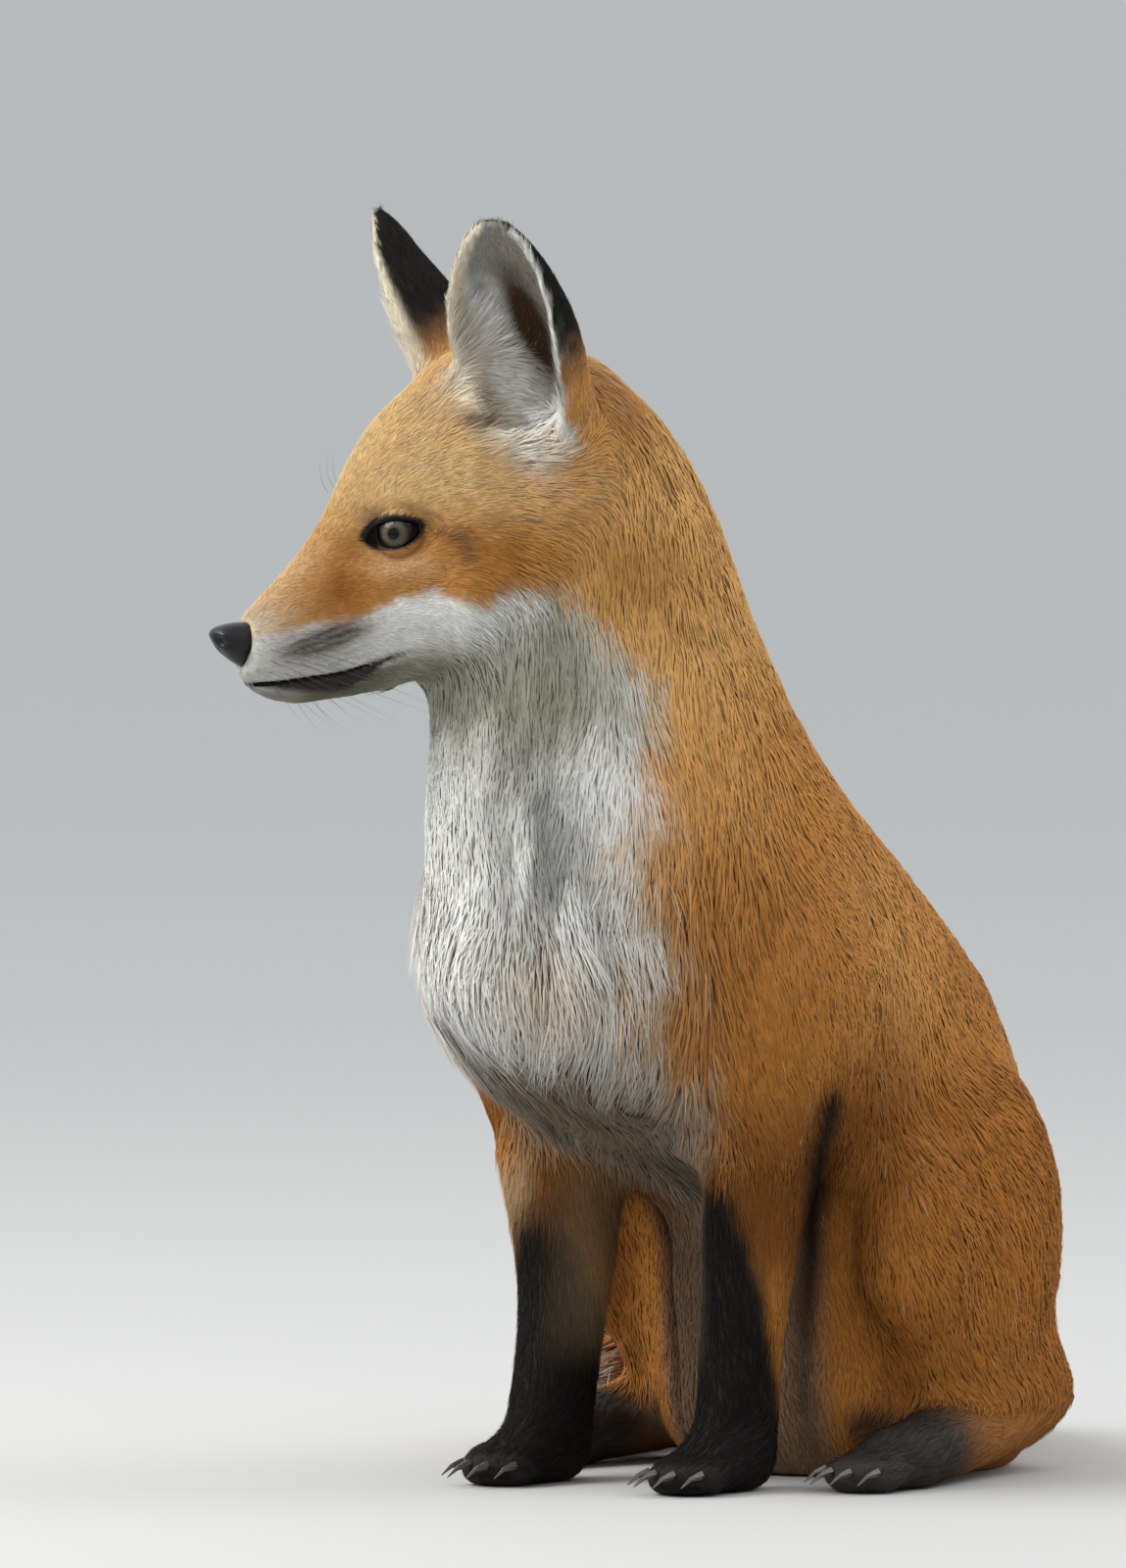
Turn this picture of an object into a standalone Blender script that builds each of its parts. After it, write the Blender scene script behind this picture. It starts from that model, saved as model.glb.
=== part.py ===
"""A young red fox that sits upright with its head turned to its right.

Life-size solids out to the tips of the coat.

Metres, +Z up. The body faces -Y, so its left side is +X.
The origin is on the floor, in the flat under the rump.
The flesh is modelled whole, as lofts and blobs that a remesh fuses.
Thin cuts then part it into named pieces.
Lists of sizes are in centimetres.
Head sizes are (forward, left, up) from the point midway between the eyes.
"""

import math

import bmesh
import bpy
import numpy as np
from mathutils import Matrix, Vector

CM = 0.01
GAP = 0.0003  # clear distance between two pieces that touch
VOXEL = 0.0028  # grain of the fused form
SMOOTH_PASSES = 7
FORM_TRIANGLES = 2720
RING = 40  # points round a loft

# The head: where it sits, and how far it turns to the fox's right.
EYES = (-5.6, -24.3, 35.8)
HEAD_YAW = math.radians(28)
EYE_CENTRE = (-0.30, 2.38, 0.0)
EYE_RADIUS = 0.85
EYE_OUTWARD = math.radians(46)
LIDS_RADII = (0.55, 1.0, 0.56)
LIDS_OUTWARD = math.radians(58)
LIDS_SLANT = math.radians(14)  # the inner corner lies lower
NOSE_CENTRE = (5.4, 0.0, -4.1)
NOSE_RADII = (0.88, 0.92, 0.90)
EAR_BASE = (-4.75, 3.8, 3.9)
EAR_TIP = (-2.4, 5.85, 11.65)
EAR_OPENS = math.radians(42)  # outward from straight ahead
EAR_RADIUS = 2.6  # of the cup at its widest
EAR_WIDEST = 0.35  # where that is, from the base to the tip
EAR_TAPER_BELOW, EAR_TAPER_ABOVE = 0.85, 0.65  # how far from there the radius would be nothing
EAR_ROUNDNESS = 0.6  # of the taper: at 0.5 it is an ellipse
EAR_WRAP = (86, 118)  # degrees of the cup on its inner and its outer side
EAR_FLATTER = 0.55  # share of the cup's depth that is lost by its tip
EAR_THICKNESS = 0.42
EAR_HEIGHTS = (-0.2, -0.04, 0.12, 0.28, 0.44, 0.6, 0.75, 0.87, 0.95, 0.99)
EAR_PIT = (1.75, 1.75, 2.3)  # radii of the pit in the skull that the cup opens from
EAR_PIT_UP = 1.5

# Each forepaw's distance in front of the origin: the right one stands a step ahead.
FOREPAW_FRONT = {"left": 14.4, "right": 15.4}
PAW_APART = 4.1
HIND_TOES_FRONT = 10.4
HIND_TOES_APART = 8.3

# Trunk and neck as level ellipses: height, left, back, half width, half depth.
TRUNK_AND_NECK = [
    (-0.5, 0.0, -2.6, 5.2, 5.6),
    (1.4, 0.0, -3.0, 7.2, 7.2),
    (4.0, 0.0, -3.0, 7.9, 7.4),
    (7.0, 0.0, -2.9, 8.0, 7.9),
    (10.0, 0.0, -3.2, 8.0, 7.9),
    (12.4, 0.0, -5.9, 8.0, 10.2),
    (14.4, 0.0, -8.3, 8.2, 12.3),
    (16.5, 0.0, -10.1, 8.3, 13.2),
    (18.5, 0.0, -11.6, 8.4, 13.4),
    (20.5, 0.0, -12.7, 8.3, 12.25),
    (22.5, 0.0, -13.7, 8.0, 11.0),
    (25.0, -0.1, -15.1, 7.5, 9.4),
    (27.5, -0.2, -16.2, 6.9, 8.1),
    (30.0, -0.5, -16.7, 6.4, 7.3),
    (32.5, -0.9, -17.3, 6.0, 7.0),
    (34.5, -1.2, -17.8, 5.9, 6.9),
    (36.5, -1.6, -18.2, 5.9, 6.7),
    (39.0, -2.1, -18.5, 5.3, 6.0),
    (41.0, -2.5, -18.9, 4.2, 4.7),
    (42.3, -2.7, -19.3, 2.6, 3.0),
    (42.9, -2.8, -19.4, 0.9, 1.0),
]

# Head sections: forward, top, bottom, half width, height of the widest place.
HEAD = [
    (5.35, -3.45, -5.15, 0.70, -4.3),
    (5.00, -3.05, -5.65, 1.15, -4.5),
    (4.20, -2.30, -6.15, 1.50, -4.7),
    (3.20, -1.30, -6.35, 1.68, -4.6),
    (2.20, -0.15, -6.35, 1.85, -4.3),
    (1.40, 1.05, -6.25, 2.15, -3.9),
    (0.60, 2.72, -6.15, 2.75, -3.4),
    (-0.40, 4.25, -5.95, 3.60, -2.9),
    (-1.40, 5.12, -5.80, 4.35, -2.6),
    (-2.60, 5.60, -5.65, 4.95, -2.4),
    (-4.00, 5.95, -5.45, 5.40, -2.1),
    (-5.50, 5.80, -5.00, 5.50, -1.7),
    (-7.00, 5.00, -4.20, 5.10, -1.0),
    (-8.40, 3.40, -2.80, 3.90, -0.3),
    (-9.30, 1.80, -1.20, 2.10, 0.2),
]
CHEEK = ((-4.1, 4.2, -2.4), (3.0, 1.8, 2.6))  # forward, left, up, and radii

# The closed lips, from the front to the corner below the eye: forward, up.
LIPS = [(6.2, -5.75), (4.6, -5.62), (3.0, -5.45), (1.4, -5.1), (0.2, -4.7), (-0.7, -4.35)]
JAW_BACK, JAW_BELOW = (-1.9, -5.2), -7.4

# Left foreleg down to the wrist: left, front, height, half side, half fore. The lowest is set by the paw.
FORELEG = [
    (6.0, 13.6, 22.5, 2.2, 3.4),
    (6.5, 13.9, 19.5, 2.7, 4.2),
    (6.2, 13.8, 16.5, 2.6, 3.8),
    (5.4, 13.8, 13.4, 2.3, 2.9),
    (4.8, 14.0, 10.6, 2.15, 2.55),
    (4.5, 14.2, 8.0, 1.9, 2.2),
    (4.2, 14.4, 5.4, 1.65, 1.95),
]
WRIST = (3.2, 1.62, 1.95)  # height, half side, half fore

# Left hind foot from hock to toes, and the shank that comes down to the hock.
HIND_FOOT = [
    (6.3, -1.4, 3.6, 1.5, 1.6),
    (6.5, 0.4, 2.9, 1.7, 2.0),
    (7.0, 3.0, 2.2, 1.6, 1.7),
    (7.6, 5.8, 1.7, 1.55, 1.5),
    (8.1, 8.6, 1.4, 1.7, 1.4),
    (8.3, 10.0, 1.2, 1.6, 1.2),
]
SHANK = [
    (7.3, 8.7, 8.4, 1.9, 2.2),
    (7.1, 6.2, 6.7, 2.1, 2.5),
    (6.7, 3.0, 5.2, 2.0, 2.3),
    (6.4, 0.0, 3.9, 1.7, 1.9),
]
HAUNCH = ((6.2, -4.4, 9.2), (3.5, 5.3, 7.4))
KNEE = ((7.5, -8.1, 9.2), (2.4, 2.7, 4.1))

# The tail, from inside the rump, round the right haunch: left, back, height, radius.
TAIL = [
    (0.0, 1.0, 5.0, 2.0),
    (-1.4, 3.9, 4.7, 2.6),
    (-4.0, 7.4, 3.8, 3.2),
    (-7.4, 8.9, 3.5, 3.8),
    (-10.8, 6.6, 3.5, 3.9),
    (-12.8, 2.5, 3.4, 3.8),
    (-12.7, -1.5, 3.1, 3.3),
    (-11.7, -4.4, 2.4, 2.5),
    (-10.8, -6.1, 1.6, 1.5),
    (-10.4, -6.9, 1.2, 0.5),
]
TAIL_STEPS = 2
TAIL_CUTS = (3.2, 5.6)  # where along the rows above it is divided

TOES = [(-1.28, 2.35), (-0.45, 3.0), (0.45, 3.0), (1.28, 2.35)]  # left, front of the paw's middle
TOE_RADII = (0.60, 1.10, 0.85)
CLAW_LENGTH, CLAW_RADIUS, CLAW_SUNK = 1.15, 0.17, 0.35

RUST = (0.52, 0.19, 0.05)
GOLD = (0.60, 0.29, 0.10)
CREAM = (0.72, 0.66, 0.58)
SOOT = (0.03, 0.026, 0.026)
WET_BLACK = (0.012, 0.012, 0.014)
AMBER = (0.35, 0.20, 0.06)
HORN = (0.10, 0.085, 0.075)


def metres(*sizes):
    return Vector([CM * s for s in sizes])


AHEAD = Vector((-math.sin(HEAD_YAW), -math.cos(HEAD_YAW), 0.0))
LEFT = Vector((math.cos(HEAD_YAW), -math.sin(HEAD_YAW), 0.0))
UP = Vector((0.0, 0.0, 1.0))


def head_point(forward, left, up):
    return metres(*EYES) + CM * (AHEAD * forward + LEFT * left + UP * up)


def head_frame(outward=0.0, pitch=0.0, roll=0.0):
    """Rotation with X, Y and Z the head's ahead, left and up, rolled, pitched and then turned outward."""
    axes = Matrix((AHEAD, LEFT, UP)).transposed()
    turned = Matrix.Rotation(outward, 3, "Z") @ Matrix.Rotation(pitch, 3, "Y")
    return axes @ turned @ Matrix.Rotation(roll, 3, "X")


def through(rows, steps):
    """Rows on a Catmull-Rom curve through the given rows, with this many steps between two of them."""
    rows = np.array(rows, float)
    ends = np.vstack([2 * rows[0] - rows[1], rows, 2 * rows[-1] - rows[-2]])
    made = []
    for a, b, c, d in zip(ends, ends[1:], ends[2:], ends[3:]):
        for t in np.arange(steps) / steps:
            curve = (c - a) * t + (2 * a - 5 * b + 4 * c - d) * t * t + (3 * b - a - 3 * c + d) * t**3
            made.append(b + 0.5 * curve)
    made.append(rows[-1])
    return np.array(made)


def loft(mesh, rings):
    """A closed skin over rings with the same number of points, with a face on each end."""
    loops = [[mesh.verts.new(p) for p in ring] for ring in rings]
    for low, high in zip(loops, loops[1:]):
        for i, corner in enumerate(low):
            beside = (i + 1) % len(low)
            mesh.faces.new((corner, low[beside], high[beside], high[i]))
    mesh.faces.new(loops[0][::-1])
    mesh.faces.new(loops[-1])


def round_points(count=RING):
    angles = np.arange(count) * 2 * math.pi / count
    return np.cos(angles)[:, None], np.sin(angles)[:, None]


def trunk_and_neck(mesh):
    across, along = round_points()
    rings = []
    for height, left, back, half_width, half_depth in through(TRUNK_AND_NECK, 2):
        flat = np.hstack([left + across * half_width, back + along * half_depth])
        rings.append(CM * np.hstack([flat, np.full((RING, 1), height)]))
    loft(mesh, rings)


def head(mesh):
    across, along = round_points()
    origin, ahead, left, up = (np.array(v) for v in (metres(*EYES), AHEAD, LEFT, UP))
    rings = []
    for forward, top, bottom, half_width, widest in through(HEAD, 2):
        height = widest + np.where(along > 0, (top - widest) * along, (widest - bottom) * along)
        rings.append(origin + CM * (forward * ahead + across * half_width * left + height * up))
    loft(mesh, rings)


def limb(mesh, rows, side=1, steps=2, points=20, half_side_along=(1.0, 0.0, 0.0)):
    """A loft along rows of (left, back, height, half side, half fore), on the right where side is -1."""
    across, along = round_points(points)
    rows = through(rows, steps)
    rows[:, 0] *= side
    way = np.gradient(rows[:, :3], axis=0)
    rings = []
    for row, direction in zip(rows, way):
        direction = direction / np.linalg.norm(direction)
        sideways = np.array(half_side_along)
        sideways -= sideways.dot(direction) * direction
        sideways /= np.linalg.norm(sideways)
        fore = np.cross(direction, sideways)
        rings.append(CM * (row[:3] + across * row[3] * sideways + along * row[-1] * fore))
    loft(mesh, rings)


def blob(mesh, centre, radii, turn=None, segments=24):
    """An ellipsoid. Centre in metres, radii in centimetres, turn a rotation."""
    turn = turn or Matrix.Identity(3)
    place = Matrix.Translation(centre) @ turn.to_4x4() @ Matrix.Diagonal((*metres(*radii), 1.0))
    bmesh.ops.create_uvsphere(mesh, u_segments=segments, v_segments=segments // 2, radius=1.0, matrix=place)


def foreleg_rows(side_name):
    """The foreleg's rows as left, back, height and half sizes, with the wrist over this side's paw."""
    front = FOREPAW_FRONT[side_name]
    lean = (front - FORELEG[-1][1]) / 2
    rows = [(left, -f, height, side, fore) for left, f, height, side, fore in FORELEG]
    left, back, height, side, fore = rows[-1]
    rows[-1] = (left, back - lean, height, side, fore)
    rows.append((PAW_APART, -front, *WRIST))
    rows.append((PAW_APART, -front - 0.3, 1.6, 1.6, 2.0))
    return rows


def paw(mesh, left, back, side, half_length):
    """A flat pad with four toes in front of it. Left and back are the middle of the paw in centimetres."""
    blob(mesh, metres(side * left, back, 1.15), (1.72, half_length, 1.45))
    for toe_left, toe_front in TOES:
        blob(mesh, metres(side * left + toe_left, back - toe_front, 0.72), TOE_RADII, segments=16)


def hind_rows(rows):
    return [(left, -front, height, side, fore) for left, front, height, side, fore in rows]


def paw_middles():
    """Side sign, fore or hind, and middle (left, back) of each paw in centimetres."""
    for name, sign in (("left", 1), ("right", -1)):
        yield f"fore_{name}", sign, PAW_APART, -FOREPAW_FRONT[name] - 0.7
        yield f"hind_{name}", sign, HIND_TOES_APART, -HIND_TOES_FRONT + 0.5


def flesh(mesh):
    """All the flesh as overlapping closed shapes, without ears, nose, eyes, claws and tail."""
    trunk_and_neck(mesh)
    head(mesh)
    for name, sign in (("left", 1), ("right", -1)):
        (forward, left, up), radii = CHEEK
        blob(mesh, head_point(forward, sign * left, up), radii, head_frame())
        limb(mesh, foreleg_rows(name), sign)
        limb(mesh, hind_rows(HIND_FOOT), sign)
        limb(mesh, hind_rows(SHANK), sign)
        for (left, back, height), radii in (HAUNCH, KNEE):
            blob(mesh, metres(sign * left, back, height), radii)
    for name, sign, left, back in paw_middles():
        paw(mesh, left, back, sign, 2.5 if name.startswith("fore") else 2.2)


def new_object(name, mesh_or_form, hidden=False):
    """An object of a mesh, or of a bmesh, in the model's collection or, hidden, among the cutters."""
    if isinstance(mesh_or_form, bmesh.types.BMesh):
        data = bpy.data.meshes.new(name)
        bmesh.ops.recalc_face_normals(mesh_or_form, faces=mesh_or_form.faces)
        mesh_or_form.to_mesh(data)
        mesh_or_form.free()
    else:
        data = mesh_or_form
    made = bpy.data.objects.new(name, data)
    (CUTTERS if hidden else FOX).objects.link(made)
    made.hide_render = hidden
    made.display_type = "WIRE" if hidden else "TEXTURED"
    return made


def shape(build, *args, **options):
    """A hidden object of what the building function adds to an empty bmesh."""
    mesh = bmesh.new()
    build(mesh, *args, **options)
    return new_object("cutter", mesh, hidden=True)


def baked(source, name, hidden=True):
    """The source with its modifiers applied, as a new object. The source goes."""
    bpy.context.view_layer.update()
    seen = source.evaluated_get(bpy.context.evaluated_depsgraph_get())
    data = bpy.data.meshes.new_from_object(seen)
    made = new_object(name, data, hidden)
    made.matrix_world = source.matrix_world
    bpy.data.objects.remove(source)
    return made


def boolean(target, operation, tool):
    """The target joined with, cut by or kept inside the tool, which goes."""
    step = target.modifiers.new("cut", "BOOLEAN")
    step.operation, step.object = operation, tool
    made = baked(target, target.name)
    bpy.data.objects.remove(tool)
    return made


def copied(source):
    return new_object("copy", source.data.copy(), hidden=True)


def grown(source, by=GAP):
    """A copy whose surface stands out by this much."""
    made = copied(source)
    step = made.modifiers.new("grow", "DISPLACE")
    step.strength, step.mid_level = by, 0.0
    return baked(made, "grown")


def fused_form():
    """The flesh as one closed form: fused, smoothed, thinned, and flat where it meets the floor."""
    form = shape(flesh)
    fuse = form.modifiers.new("fuse", "REMESH")
    fuse.mode, fuse.voxel_size = "VOXEL", VOXEL
    soften = form.modifiers.new("soften", "SMOOTH")
    soften.factor, soften.iterations = 0.5, SMOOTH_PASSES
    form = baked(form, "form")
    thin = form.modifiers.new("thin", "DECIMATE")
    thin.ratio = FORM_TRIANGLES / (2 * len(form.data.polygons))
    form = baked(form, "form")
    return boolean(form, "INTERSECT", box((-30, 20), (-40, 20), (0, 60)))


def box(left, back, height, turn=None, centre=None):
    """A cutting box between these limits in centimetres, or, with a turn, round its centre in metres."""
    mesh = bmesh.new()
    bmesh.ops.create_cube(mesh, size=1.0)
    sizes = metres(*(high - low for low, high in (left, back, height)))
    middle = metres(*((high + low) / 2 for low, high in (left, back, height)))
    place = Matrix.Translation(middle) @ Matrix.Diagonal((*sizes, 1.0))
    if turn:
        place = Matrix.Translation(centre) @ turn.to_4x4() @ place
    bmesh.ops.transform(mesh, matrix=place, verts=mesh.verts)
    return new_object("cutter", mesh, hidden=True)


def oval(centre, radii, turn=None, segments=12):
    """A cutting ellipsoid, centre in metres and radii in centimetres."""
    return shape(blob, centre, radii, turn, segments=segments)


def prism(outline, half_width):
    """A cutting prism across the head over an outline of (forward, up) points."""
    mesh = bmesh.new()
    sides = []
    for left in (-half_width, half_width):
        sides.append([mesh.verts.new(head_point(f, left, u)) for f, u in outline])
    mesh.faces.new(sides[0])
    mesh.faces.new(sides[1][::-1])
    for i in range(len(outline)):
        j = (i + 1) % len(outline)
        mesh.faces.new((sides[0][j], sides[0][i], sides[1][i], sides[1][j]))
    return new_object("cutter", mesh, hidden=True)


def split(form, region):
    """Divides the form along the region's surface, with a gap, into the inner and the outer piece."""
    wider = grown(region)
    inner = boolean(copied(form), "INTERSECT", region)
    outer = boolean(form, "DIFFERENCE", wider)
    return inner, outer


def material(name, colour, roughness=0.8):
    made = bpy.data.materials.get(name)
    if made is None:
        made = bpy.data.materials.new(name)
        made.use_nodes = True
        surface = made.node_tree.nodes["Principled BSDF"]
        surface.inputs["Base Color"].default_value = (*colour, 1.0)
        surface.inputs["Roughness"].default_value = roughness
        surface.inputs["Metallic"].default_value = 0.0
    return made


def keep(source, name, finish):
    """Puts a finished solid in the model under its name, with its material and only its largest shell."""
    mesh = bmesh.new()
    mesh.from_mesh(source.data)
    bmesh.ops.remove_doubles(mesh, verts=mesh.verts, dist=1e-6)
    left_over = largest_shell_only(mesh)
    made = new_object(name, mesh)
    made.data.materials.clear()
    made.data.materials.append(material(*finish))
    made.data.shade_smooth()
    bpy.data.objects.remove(source)
    if left_over:
        print(f"{name}: {left_over} small shells dropped")
    return made


def largest_shell_only(mesh):
    """Removes all but the shell with most vertices, and says how many shells went."""
    unseen, shells = set(mesh.verts), []
    while unseen:
        todo, shell = [unseen.pop()], []
        while todo:
            vertex = todo.pop()
            shell.append(vertex)
            for edge in vertex.link_edges:
                other = edge.other_vert(vertex)
                if other in unseen:
                    unseen.remove(other)
                    todo.append(other)
        shells.append(shell)
    shells.sort(key=len)
    for shell in shells[:-1]:
        bmesh.ops.delete(mesh, geom=shell, context="VERTS")
    return len(shells) - 1


def ear_level(up):
    """The ear's arc at this height, 0 at the base and 1 at the tip: radius, share of depth, angles of its ends."""
    taper = (up - EAR_WIDEST) / (EAR_TAPER_ABOVE if up > EAR_WIDEST else EAR_TAPER_BELOW)
    radius = EAR_RADIUS * (1 - taper**2) ** EAR_ROUNDNESS
    height = max(up, 0)
    depth = 1 - EAR_FLATTER * min(height / 0.75, 1) ** 1.5
    shorter = 1 - 0.45 * height**8
    inner, outer = (shorter * math.radians(degrees) for degrees in EAR_WRAP)
    return radius, depth, -inner, outer


def ear(sign):
    """A cup that opens outward and tapers to its tip, with its outer edge curled forward."""
    base, tip = (Vector((f, sign * left, u)) for f, left, u in (EAR_BASE, EAR_TIP))
    opens = Vector((math.cos(EAR_OPENS), sign * math.sin(EAR_OPENS), 0.0))
    rise = (tip - base).normalized()
    opens = (opens - rise * opens.dot(rise)).normalized()
    across = rise.cross(opens) * sign
    mesh = bmesh.new()
    rows = []
    for up in EAR_HEIGHTS:
        radius, depth, inner, outer = ear_level(up)
        row = []
        for angle in np.linspace(inner, outer, 9):
            away = across * math.sin(angle) - opens * depth * math.cos(angle)
            row.append(mesh.verts.new(head_point(*(base + (tip - base) * up + away * radius))))
        rows.append(row)
    for low, high in zip(rows, rows[1:]):
        for i in range(len(low) - 1):
            mesh.faces.new((low[i], low[i + 1], high[i + 1], high[i]))
    made = new_object("cutter", mesh, hidden=True)
    wall = made.modifiers.new("wall", "SOLIDIFY")
    wall.thickness, wall.offset = CM * EAR_THICKNESS, 0.0
    wall.use_even_offset = False
    return baked(made, "ear")


def tail(mesh):
    limb(mesh, TAIL, steps=TAIL_STEPS, points=16, half_side_along=(0.0, 0.0, 1.0))


def tail_cutter(along):
    """A large box that holds all of the tail past this place along its rows."""
    rows = through(TAIL, TAIL_STEPS)
    index = along * TAIL_STEPS
    whole = int(index)
    here = Vector(rows[whole][:3]).lerp(Vector(rows[whole + 1][:3]), index - whole)
    way = (Vector(rows[whole + 1][:3]) - Vector(rows[whole][:3])).normalized()
    turn = way.to_track_quat("Y", "Z").to_matrix()
    return box((-18, 18), (0, 18), (-9, 9), turn, CM * here)


def claw(mesh, base, thicker=0.0):
    """A curved spike that points ahead and down from its root at base, in metres."""
    rings = []
    across, along = round_points(5)
    for t in np.linspace(0, 1, 3):
        radius = CM * (CLAW_RADIUS * (1 - 0.85 * t) + thicker)
        centre = np.array(base) + CM * np.array([0, -CLAW_LENGTH * t, -0.42 * t * t])
        rings.append(centre + np.hstack([across * radius, np.zeros_like(across), along * radius]))
    loft(mesh, rings)


def main():
    form = fused_form()

    # The tail lies against the rump and the right haunch, so it is cut back to them.
    whole_tail = boolean(shape(tail), "INTERSECT", box((-30, 20), (-40, 30), (0, 60)))
    whole_tail = boolean(whole_tail, "DIFFERENCE", grown(form))
    for name, along in zip(("tail_base", "tail_middle"), TAIL_CUTS):
        beyond, nearer = split(whole_tail, tail_cutter(along))
        keep(nearer, name, ("rust_coat", RUST))
        whole_tail = beyond
    keep(whole_tail, "tail_brush", ("rust_coat", RUST))

    # Ears stand on the head, so they are cut back to it as well.
    for name, sign in (("left", 1), ("right", -1)):
        keep(boolean(ear(sign), "DIFFERENCE", grown(form)), f"ear_{name}", ("black_ear", SOOT))

    # The head comes off along a plane from behind the ears to the throat.
    turn = head_frame(pitch=math.radians(-35))
    skull, body = split(form, box((0, 20), (-12, 12), (-16, 16), turn, head_point(-5.4, 0, 0)))

    nose = shape(blob, head_point(*NOSE_CENTRE), NOSE_RADII, head_frame(), segments=12)
    for sign in (1, -1):
        nostril = oval(head_point(6.13, sign * 0.42, -4.13), (0.32, 0.20, 0.16), head_frame(sign * 0.9), 8)
        nose = boolean(nose, "DIFFERENCE", nostril)
    skull = boolean(skull, "DIFFERENCE", grown(nose))
    keep(nose, "nose", ("wet_black", WET_BLACK, 0.35))

    for name, sign in (("left", 1), ("right", -1)):
        pit_forward, pit_left, pit_up = EAR_BASE
        pit = oval(head_point(pit_forward, sign * pit_left, pit_up + EAR_PIT_UP), EAR_PIT)
        skull = boolean(skull, "DIFFERENCE", pit)
        forward, left, up = EYE_CENTRE
        centre = head_point(forward, sign * left, up)
        gaze = head_frame(sign * EYE_OUTWARD)
        opening = head_frame(sign * LIDS_OUTWARD, roll=-sign * LIDS_SLANT)
        before_eye = head_point(forward + 0.55, sign * (left + 0.55), up)
        skull = boolean(skull, "DIFFERENCE", oval(before_eye, LIDS_RADII, opening))
        eye = shape(blob, centre, (EYE_RADIUS,) * 3, gaze, segments=12)
        skull = boolean(skull, "DIFFERENCE", grown(eye))
        keep(eye, f"eye_{name}", ("eye", AMBER, 0.1))

    outline = [*LIPS, JAW_BACK, (-1.9, JAW_BELOW), (6.2, JAW_BELOW)]
    jaw, skull = split(skull, prism(outline, 4.0))
    keep(jaw, "lower_jaw", ("cream_coat", CREAM))
    keep(skull, "head", ("gold_coat", GOLD))

    # Legs come off the body one by one, from the floor up.
    for name, sign in (("left", 1), ("right", -1)):
        forepaw, body = split(body, box(sorted((sign * 1.8, sign * 6.15)), (-24, -11.4), (-1, 3.4)))
        finish_paw(forepaw, f"forepaw_{name}", f"fore_{name}")
        forearm, body = split(body, box(sorted((sign * 2.1, sign * 8.6)), (-24, -11.0), (3.0, 12.6)))
        keep(forearm, f"forearm_{name}", ("black_stocking", SOOT))
        arm, body = split(body, oval(metres(sign * 7.4, -13.9, 18.0), (4.3, 5.2, 6.4)))
        keep(arm, f"upper_arm_{name}", ("rust_coat", RUST))
        foot, body = split(body, box(sorted((sign * 4.9, sign * 12.0)), (-20, 2.6), (-1, 3.1)))
        finish_paw(foot, f"hind_foot_{name}", f"hind_{name}")
        thigh, body = split(body, oval(metres(sign * 8.8, -4.4, 8.8), (5.2, 7.2, 8.2)))
        keep(thigh, f"thigh_{name}", ("rust_coat", RUST))

    above = Matrix.Rotation(math.radians(24), 3, "X")
    neck, body = split(body, box((-15, 15), (-20, 20), (0, 30), above, metres(0, -16.5, 26.0)))
    keep(neck, "neck", ("gold_coat", GOLD))
    slope = Matrix.Rotation(math.radians(34), 3, "X")
    chest, rump = split(body, box((-15, 15), (-30, 30), (0, 40), slope, metres(0, -7.0, 13.5)))
    keep(chest, "chest", ("cream_coat", CREAM))
    keep(rump, "rump", ("rust_coat", RUST))


def finish_paw(form, node, paw_name):
    """Sinks the four claws of this paw into it and keeps them and it as separate solids."""
    for name, sign, left, back in paw_middles():
        if name != paw_name:
            continue
        for number, (toe_left, toe_front) in enumerate(TOES, 1):
            root = metres(sign * left + toe_left, back - toe_front - TOE_RADII[1] + CLAW_SUNK, 0.85)
            form = boolean(form, "DIFFERENCE", shape(claw, root, thicker=GAP / CM))
            keep(shape(claw, root), f"claw_{paw_name}_{number}", ("horn", HORN, 0.4))
    keep(form, node, ("black_stocking", SOOT))


for old in list(bpy.data.objects):
    bpy.data.objects.remove(old)
FOX = bpy.data.collections.new("sitting_fox")
CUTTERS = bpy.data.collections.new("cutters")
for collection in (FOX, CUTTERS):
    bpy.context.scene.collection.children.link(collection)
main()
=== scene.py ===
"""A sitting red fox as a still, life-size model: skin, coat, eyes, nose, lips and whiskers over its frame."""

import math
from types import SimpleNamespace

import bmesh
import bpy
import numpy as np
from bpy.props import FloatProperty, FloatVectorProperty, IntProperty, PointerProperty
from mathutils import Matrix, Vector
from mathutils.bvhtree import BVHTree


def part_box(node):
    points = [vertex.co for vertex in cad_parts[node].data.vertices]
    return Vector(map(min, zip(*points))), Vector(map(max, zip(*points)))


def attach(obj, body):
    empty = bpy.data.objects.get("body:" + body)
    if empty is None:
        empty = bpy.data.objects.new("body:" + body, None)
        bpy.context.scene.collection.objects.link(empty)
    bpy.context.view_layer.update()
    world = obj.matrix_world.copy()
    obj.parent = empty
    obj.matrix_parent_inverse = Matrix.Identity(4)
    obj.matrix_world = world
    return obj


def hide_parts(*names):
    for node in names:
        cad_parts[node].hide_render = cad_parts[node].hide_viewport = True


bl_info = {
    "name": "Sitting fox",
    "version": (1, 0, 0),
    "blender": (4, 5, 0),
    "location": "3D View > Sidebar > Fox",
    "description": "Dresses the frame of a sitting fox with its skin, coat, eyes and other parts",
    "category": "Object",
}

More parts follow.
